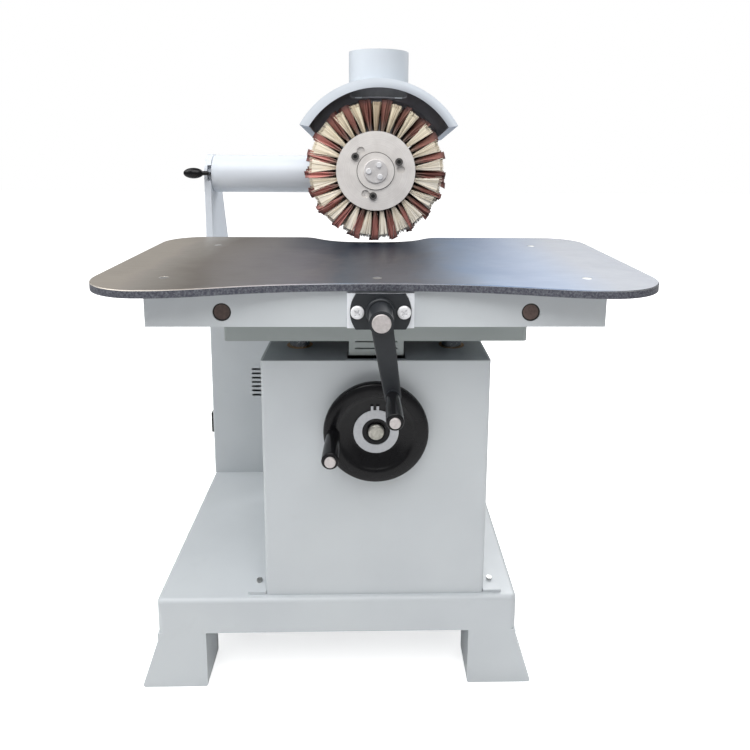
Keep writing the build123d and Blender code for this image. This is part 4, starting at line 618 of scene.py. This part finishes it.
# Dust outlet: a rolled and welded spigot on the hood's top, in nearly the hood's paint. Its mouth takes a
# hose, and its bore is painted dark grey: painted shade, blotched like dust.
OUTLET_AXIS = (*edges("dust_outlet").middle[:2], 0.0)
outlet_shades = (tint(206, 213, 220), tint(205, 212, 220), tint(188, 194, 200))
outlet_paint, tree, shader, coords, film = paint_film("outlet_paint", *outlet_shades)
middle = reckon_vector(tree, "SUBTRACT", coords["Object"], OUTLET_AXIS)
outward = reckon_vector(tree, "MULTIPLY", middle, (1.0, 1.0, 0.0))
in_bore = reckon(tree, "LESS_THAN", reckon_vector(tree, "DOT_PRODUCT", outward, coords["Normal"]), -0.02)
# The bore is painted dark: painted shade inside the spigot.
bore_shade_tone = shade_and_dust_tone(tree, coords["Object"], tint(70, 72, 76), tint(112, 114, 118))
wire_skin(tree, shader, film, PEEL_BUMP, mix(tree, in_bore, film["Color"], bore_shade_tone))
dress(outlet_paint, "dust_outlet")

# Brush body: a turned aluminium drum with a satin front flange. Three black socket screws stand in
# keyholes, and a small disc with three bright screws covers the spindle's end.
FLANGE_SEAM, SEAM_HALF_WIDTH, NO_SEAM = 0.0443, 0.0009, -1.0
SCREW_FACE_DEPTH = 0.0008


def axis_reach(tree, vector):
    """Distance of a place from the Y axis: the length of its vector without the Y part."""
    return reckon_vector(tree, "LENGTH", reckon_vector(tree, "MULTIPLY", vector, (1.0, 0.0, 1.0)))


facing_cut, start = skin_group("turned_face", Vector=VECTOR, Tone=COLOR, Dark=COLOR)
ring_inputs = {"W": axis_reach(facing_cut, start["Vector"]), "Scale": 900.0, "Detail": 3.0}
rings = add_node(facing_cut, "ShaderNodeTexNoise", ring_inputs, noise_dimensions="1D").outputs["Fac"]
smudge = mottle(facing_cut, start["Vector"], scale=30.0, detail=5.0, roughness=0.6)
share = rescale(facing_cut, reckon(facing_cut, "MULTIPLY", rings, smudge), (0.12, 0.34))
tone = mix(facing_cut, share, start["Dark"], start["Tone"])
rough = rescale(facing_cut, smudge, (0.3, 0.7), (0.34, 0.5))
end_group(facing_cut, Color=tone, Roughness=rough, Height=rings)


def lathe_turned(name, tone, dark, metallic, seam=NO_SEAM):
    """Metal faced on a lathe, with fine rings round the brush axis and a dirty seam at a radius."""
    material, tree, shader, coords = blank_finish(name, metallic=metallic)
    centred = reckon_vector(tree, "SUBTRACT", coords["Object"], (0.0, 0.0, HEAD_AXIS_Z))
    skin = lay_skin(tree, facing_cut, Vector=centred, Tone=tone, Dark=dark)
    on_seam = reckon(tree, "COMPARE", axis_reach(tree, centred), seam, SEAM_HALF_WIDTH)
    wire_skin(tree, shader, skin, 0.12, mix(tree, on_seam, skin["Color"], tint(122, 119, 116)))
    return material


satin_shades = (tint(236, 232, 228), tint(219, 214, 210))
dress(lathe_turned("satin_aluminium", *satin_shades, metallic=0.12, seam=FLANGE_SEAM), "brush_flange")
dress(lathe_turned("dull_aluminium", tint(224, 220, 216), tint(204, 200, 196), metallic=0.15), "brush_core")
dress(lathe_turned("disc_aluminium", tint(222, 219, 218), tint(204, 201, 200), metallic=0.2), "hub_disc")
blackened, tree, shader, coords = blank_finish("blackened_steel", specular=0.4)
# The head's face is painted mid grey as a painted sheen on blackened steel, and its socket near black as
# painted shade in the recess.
screw_shades = {"Tone": tint(86, 84, 82), "Worn": tint(104, 102, 100)}
skin = lay_skin(tree, moulding, Vector=coords["Object"], **screw_shades, Dullness=0.3)
socket_from = edges("flange_screws").front + SCREW_FACE_DEPTH
shaded_socket = reckon(tree, "GREATER_THAN", parts_of(tree, coords["Object"])["Y"], socket_from)
wire_skin(tree, shader, skin, 0.05, mix(tree, shaded_socket, skin["Color"], tint(26, 26, 27)))
dress(blackened, "flange_screws")
dress(glinting_zinc, "hub_screws")

# Fibre tufts: bundles of stiff cream plant fibre held in strips that slide into the drum's slots.
# Each bundle leaves its strip narrow and fans out to the tips, where the fibres are trimmed unevenly.
STRIP_PAIRS = 21
TUFT_START, FLAP_START = 90.0, 90.0 + 180 / STRIP_PAIRS
STRIP_FRONT, STRIP_REAR = edges("bristle_strips").front, edges("bristle_strips").rear
STRIP_INNER, STRIP_OUTER = 0.0824, 0.0934
TUFT_STRIP_HALF, TUFT_NECK_HALF = 0.0035, 0.0028
TUFT_COLUMNS, TUFT_ROWS, ROW_MARGIN = 10, 30, 0.002
TUFT_ROOT, TUFT_TIP = 0.0885, 0.1632
COLUMN_JITTER, DEPTH_JITTER = 0.12, 0.0012
FAN_HALF, FAN_AT_SIDES, FAN_UNDER_HOOD, FAN_AT_REAR, FAN_JITTER = 0.0128, 0.0045, 0.0042, 0.0045, 0.12
FRONT_POWER, REAR_POWER_DROP = 1.1, 0.6
STRIP_SWAY, FRONT_SWAY, REAR_SWAY = 0.0028, 0.0007, 0.0030
STRAY_SHARE, STRAY_SWAY = 0.02, 0.007
STRIP_TRIM, FIBRE_TRIM = 0.004, 0.003
FIBRE_SIDES, FIBRE_RADIUS, FIBRE_TAPER = 3, 0.00088, 0.00016
PACK_SHARE, PACK_FRONT, PACK_REAR = 0.94, STRIP_FRONT + 0.0022, STRIP_REAR - 0.003
HOOD_SHADE, PACK_TONE, TUFT_STRIP_TONE = 0.97, 0.7, 0.1
tuft_rng = np.random.default_rng(7)


def around_drum(radius, offset, depth, angle):
    """Points out from the brush axis by a radius at an angle, moved sideways by an offset, at a depth."""
    across = radius * np.cos(angle) - offset * np.sin(angle)
    rise = radius * np.sin(angle) + offset * np.cos(angle)
    return np.stack(np.broadcast_arrays(across, depth, HEAD_AXIS_Z + rise), -1).reshape(-1, 3)


def strip_turns(first_angle):
    """Angle of each strip of one kind, spaced evenly round the drum from the first."""
    return np.radians(first_angle + 360 / STRIP_PAIRS * np.arange(STRIP_PAIRS))


def strip_boxes(first_angle, half_width):
    """Backing strips: one box under each row, between the strips' inner and outer radius."""
    radius = np.array([STRIP_INNER, STRIP_OUTER])[None, :, None]
    offset = half_width * np.array([-1, -1, 1, 1])
    depth = np.array([STRIP_FRONT, STRIP_REAR, STRIP_REAR, STRIP_FRONT])
    return around_drum(radius, offset, depth, strip_turns(first_angle)[:, None, None])


def mark_points(piece, **values):
    """Store one number per point on a piece, for its finish to read."""
    for label, numbers in values.items():
        layer = piece.data.attributes.new(label, "FLOAT", "POINT")
        layer.data.foreach_set("value", np.ascontiguousarray(numbers, dtype=np.float32).ravel())


def read_mark(tree, label):
    """The number stored on each point under a label."""
    return add_node(tree, "ShaderNodeAttribute", attribute_name=label).outputs["Fac"]


# Fibres: a row of columns at each depth. A fibre's offset grows from the neck to the fan by a power of its
# length, and its sway by the square.
tuft_shape = (STRIP_PAIRS, TUFT_ROWS, TUFT_COLUMNS)
tuft_turn = strip_turns(TUFT_START)
row_share = np.linspace(0, 1, TUFT_ROWS)[:, None]
column = np.linspace(-1, 1, TUFT_COLUMNS) + tuft_rng.uniform(-COLUMN_JITTER, COLUMN_JITTER, tuft_shape)
row_depth = np.linspace(STRIP_FRONT + ROW_MARGIN, STRIP_REAR - ROW_MARGIN, TUFT_ROWS)[:, None]
row_depth = row_depth + tuft_rng.uniform(-DEPTH_JITTER, DEPTH_JITTER, tuft_shape)
under_hood = np.clip(np.sin(tuft_turn), 0, 1)
fan = FAN_HALF + FAN_AT_SIDES * np.abs(np.cos(tuft_turn)) - FAN_UNDER_HOOD * under_hood
fan = fan[:, None, None] + FAN_AT_REAR * row_share
fan = fan * (1 + tuft_rng.normal(0, FAN_JITTER, (STRIP_PAIRS, 1, 1))) * np.ones(tuft_shape)
spread = (FRONT_POWER - REAR_POWER_DROP * row_share) * np.ones(tuft_shape)
sway = tuft_rng.normal(0, STRIP_SWAY, (STRIP_PAIRS, 1, 1))
sway = sway + tuft_rng.normal(0, FRONT_SWAY + REAR_SWAY * row_share, tuft_shape)
sway += (tuft_rng.random(tuft_shape) < STRAY_SHARE) * tuft_rng.normal(0, STRAY_SWAY, tuft_shape)
tip = TUFT_TIP - tuft_rng.uniform(0, STRIP_TRIM, (STRIP_PAIRS, 1, 1))
tip = tip - tuft_rng.uniform(0, FIBRE_TRIM, tuft_shape)
along = np.array([0.0, 0.15, 0.5, 1.0])[:, None]
swing = np.linspace(0, 2 * np.pi, FIBRE_SIDES, endpoint=False)
thick = FIBRE_RADIUS - FIBRE_TAPER * along
fibre = np.s_[..., None, None]
fibre_half = TUFT_NECK_HALF + (fan[fibre] - TUFT_NECK_HALF) * along ** spread[fibre]
fibre_offset = column[fibre] * fibre_half + sway[fibre] * along**2
fibre_points = around_drum(
    TUFT_ROOT + (tip[fibre] - TUFT_ROOT) * along,
    fibre_offset + thick * np.cos(swing),
    row_depth[fibre] - thick * np.sin(swing),
    tuft_turn[:, None, None, None, None],
)

# Packed body: a plain fan inside each bundle, a little narrower and shorter than its fibres.
pack_along = np.array([0.0, 0.3, 0.6, 0.9])[:, None]
pack_reach = TUFT_ROOT + (tip.mean((1, 2))[:, None, None] - TUFT_ROOT) * pack_along
pack_half = TUFT_NECK_HALF + (fan[:, :1, :1] - TUFT_NECK_HALF) * pack_along**FRONT_POWER
pack_sway = sway.mean((1, 2))[:, None, None] * pack_along**2
pack_offset = pack_sway + PACK_SHARE * pack_half * np.array([-1, -1, 1, 1])
pack_depth = np.array([PACK_FRONT, PACK_REAR, PACK_REAR, PACK_FRONT])
pack_points = around_drum(pack_reach, pack_offset, pack_depth, tuft_turn[:, None, None])
tuft_strips = strip_boxes(TUFT_START, TUFT_STRIP_HALF)
fibre_count = STRIP_PAIRS * TUFT_ROWS * TUFT_COLUMNS
fibre_faces = strand_faces(fibre_count, len(along), FIBRE_SIDES)
pack_faces = strand_faces(STRIP_PAIRS, len(pack_along), 4, len(fibre_points))
strip_faces = strand_faces(STRIP_PAIRS, 2, 4, len(fibre_points) + len(pack_points))

tuft_finish, tree, shader, coords = blank_finish("plant_fibre", specular=0.3)
fibre_stops = (
    (0.0, tint(120, 100, 82)),
    (0.015, tint(176, 158, 134)),
    (0.05, tint(224, 214, 190)),
    (0.5, tint(252, 242, 224)),
    (1.0, tint(255, 249, 236)),
)
fibre_tone = ramp(tree, read_mark(tree, "tone"), fibre_stops)
# Fibres are painted darker toward the root: painted shade between the bundles, with some dust.
root_shade = rescale(tree, read_mark(tree, "reach"), (0.0, 0.35), (0.35, 0.0))
grain = mottle(tree, coords["Object"], scale=500.0, detail=3.0)
dull = rescale(tree, grain, (0.0, 1.0), (0.5, 0.8))
wire_finish(tree, shader, mix(tree, root_shade, fibre_tone, tint(142, 128, 108)), dull, grain, 0.1)

tuft_points = np.concatenate([fibre_points, pack_points, tuft_strips])
tuft_faces = fibre_faces + pack_faces + strip_faces
tufts = add_piece("fibre_tufts", tuft_points, tuft_faces, tuft_finish, "brush")
on_fibre = np.arange(len(tufts.data.polygons)) < sum(map(len, fibre_faces))
tufts.data.polygons.foreach_set("use_smooth", on_fibre)
# Bundles under the hood get darker tones: painted shade of the hood.
hood_shaded = 1 - HOOD_SHADE * under_hood[:, None]
fibre_shade = (hood_shaded * tuft_rng.random((STRIP_PAIRS, TUFT_ROWS * TUFT_COLUMNS))).ravel()
fibre_marks = np.tile(np.repeat(along.ravel(), FIBRE_SIDES), fibre_count)
pack_marks = np.tile(np.repeat(pack_along.ravel(), 4), STRIP_PAIRS)
fibre_tones = np.repeat(fibre_shade, len(along) * FIBRE_SIDES)
pack_tones = np.repeat(PACK_TONE * hood_shaded.ravel(), len(pack_along) * 4)
mark_points(
    tufts,
    tone=np.concatenate([fibre_tones, pack_tones, np.full(len(tuft_strips), TUFT_STRIP_TONE)]),
    reach=np.concatenate([fibre_marks, pack_marks, np.zeros(len(tuft_strips))]),
)
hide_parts("bristle_strips")

# Abrasive flaps: three plies of red-brown abrasive cloth in each strip, slit into fingers from the tip.
# The fingers curl and lean back with use, and their tips are darkened by wood dust and resin.
FLAP_FINGERS, FLAP_PLIES, FLAP_RINGS = 8, 3, 9
FLAP_ROOT, FLAP_TIP, FLAP_STRIP_HALF = 0.0885, 0.1695, 0.0018
FINGER_MARGIN, FINGER_HALF_WIDTH, CLOTH_HALF = 0.0074, 0.0070, 0.0005
PLY_STEP, PLY_SPREAD = 0.0010, 2.6
CURL_RANGE, CURL_FORWARD_SHARE = (0.35, 1.45), 0.7
LEAN_BACK, STRIP_LEAN, FINGER_LEAN = -0.0030, 0.0042, 0.0050
FINGER_JITTER, TIP_WEAR = 0.001, 0.007
RIPPLE_HEIGHT, RIPPLE_RATE = 0.0010, 7
CLOTH_TONE, RIGHT_SHADE, TOP_SHADE, TONE_JITTER, FLAP_STRIP_TONE = 0.55, 0.24, 0.30, 0.10, 0.2
flap_rng = np.random.default_rng(19)
flap_shape = (STRIP_PAIRS, FLAP_PLIES, FLAP_FINGERS)
flap_turn = strip_turns(FLAP_START)
finger = np.s_[..., None, None]
along = np.linspace(0, 1, FLAP_RINGS)[:, None]
finger_depth = np.linspace(STRIP_FRONT + FINGER_MARGIN, STRIP_REAR - FINGER_MARGIN, FLAP_FINGERS)
finger_depth = finger_depth + flap_rng.uniform(-FINGER_JITTER, FINGER_JITTER, flap_shape)
ply_offset = (np.arange(FLAP_PLIES)[:, None] - 1) * PLY_STEP + np.zeros(flap_shape)
curl = flap_rng.uniform(*CURL_RANGE, flap_shape)
curl = curl * np.where(flap_rng.random(flap_shape) < CURL_FORWARD_SHARE, 1, -1)
lean = LEAN_BACK + flap_rng.normal(0, STRIP_LEAN, (STRIP_PAIRS, 1, 1))
lean = lean + flap_rng.normal(0, FINGER_LEAN, flap_shape)
wave = flap_rng.uniform(0, 2 * np.pi, flap_shape)
flap_tip = FLAP_TIP - flap_rng.uniform(0, TIP_WEAR, flap_shape)

# Fingers: a flat strip twisted along its length by its curl, parted from the other plies and bent by its
# lean. Twist, parting and lean grow as powers of the share of its length.
twist = curl[finger] * along**0.8
half_wide = FINGER_HALF_WIDTH * np.array([-1, 1, 1, -1])
half_thick = CLOTH_HALF * np.array([-1, -1, 1, 1])
ripple = RIPPLE_HEIGHT * (np.sin(RIPPLE_RATE * along + wave[finger]) - np.sin(wave[finger])) * along
flap_offset = ply_offset[finger] * (1 + PLY_SPREAD * along**0.5) + lean[finger] * along**1.6 + ripple
finger_points = around_drum(
    FLAP_ROOT + (flap_tip[finger] - FLAP_ROOT) * along,
    flap_offset + half_wide * np.sin(twist) + half_thick * np.cos(twist),
    finger_depth[finger] + half_wide * np.cos(twist) - half_thick * np.sin(twist),
    flap_turn[:, None, None, None, None],
)
finger_count = STRIP_PAIRS * FLAP_PLIES * FLAP_FINGERS
flap_strips = strip_boxes(FLAP_START, FLAP_STRIP_HALF)
flap_points = np.concatenate([finger_points, flap_strips])
flap_faces = strand_faces(finger_count, FLAP_RINGS, 4) + strand_faces(STRIP_PAIRS, 2, 4, len(finger_points))

flap_finish, tree, shader, coords = blank_finish("abrasive_cloth", specular=0.25)
cloth_stops = ((0.0, tint(112, 82, 70)), (0.5, tint(168, 112, 104)), (1.0, tint(232, 160, 152)))
cloth_tone = ramp(tree, read_mark(tree, "tone"), cloth_stops)
reach = read_mark(tree, "reach")
grit = mottle(tree, coords["Object"], scale=1400.0, detail=2.0)
root_tone = mix(tree, rescale(tree, reach, (0.06, 0.42), (0.85, 0.0)), cloth_tone, tint(150, 138, 126))
grit_tone = mix(tree, rescale(tree, grit, (0.45, 0.75), (0.0, 0.35)), root_tone, tint(84, 60, 58))
end_tone = mix(tree, rescale(tree, reach, (0.84, 0.98), (0.0, 0.8)), grit_tone, tint(80, 60, 60))
wire_finish(tree, shader, end_tone, rescale(tree, grit, (0.0, 1.0), (0.6, 0.85)), grit, 0.35)

flaps = add_piece("abrasive_flaps", flap_points, flap_faces, flap_finish, "brush", smooth=False)
# Fingers on the right and under the hood get darker tones, those on the left paler: painted light and shade,
# with random variation.
shaded = RIGHT_SHADE * np.cos(flap_turn) + TOP_SHADE * np.clip(np.sin(flap_turn), 0, 1)
shaded_tone = CLOTH_TONE - shaded[:, None, None] + flap_rng.normal(0, TONE_JITTER, flap_shape)
finger_tones = np.repeat(np.clip(shaded_tone, 0, 1).ravel(), FLAP_RINGS * 4)
finger_marks = np.tile(np.repeat(along.ravel(), 4), finger_count)
mark_points(
    flaps,
    tone=np.concatenate([finger_tones, np.full(len(flap_strips), FLAP_STRIP_TONE)]),
    reach=np.concatenate([finger_marks, np.zeros(len(flap_strips))]),
)
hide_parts("abrasive_strips")
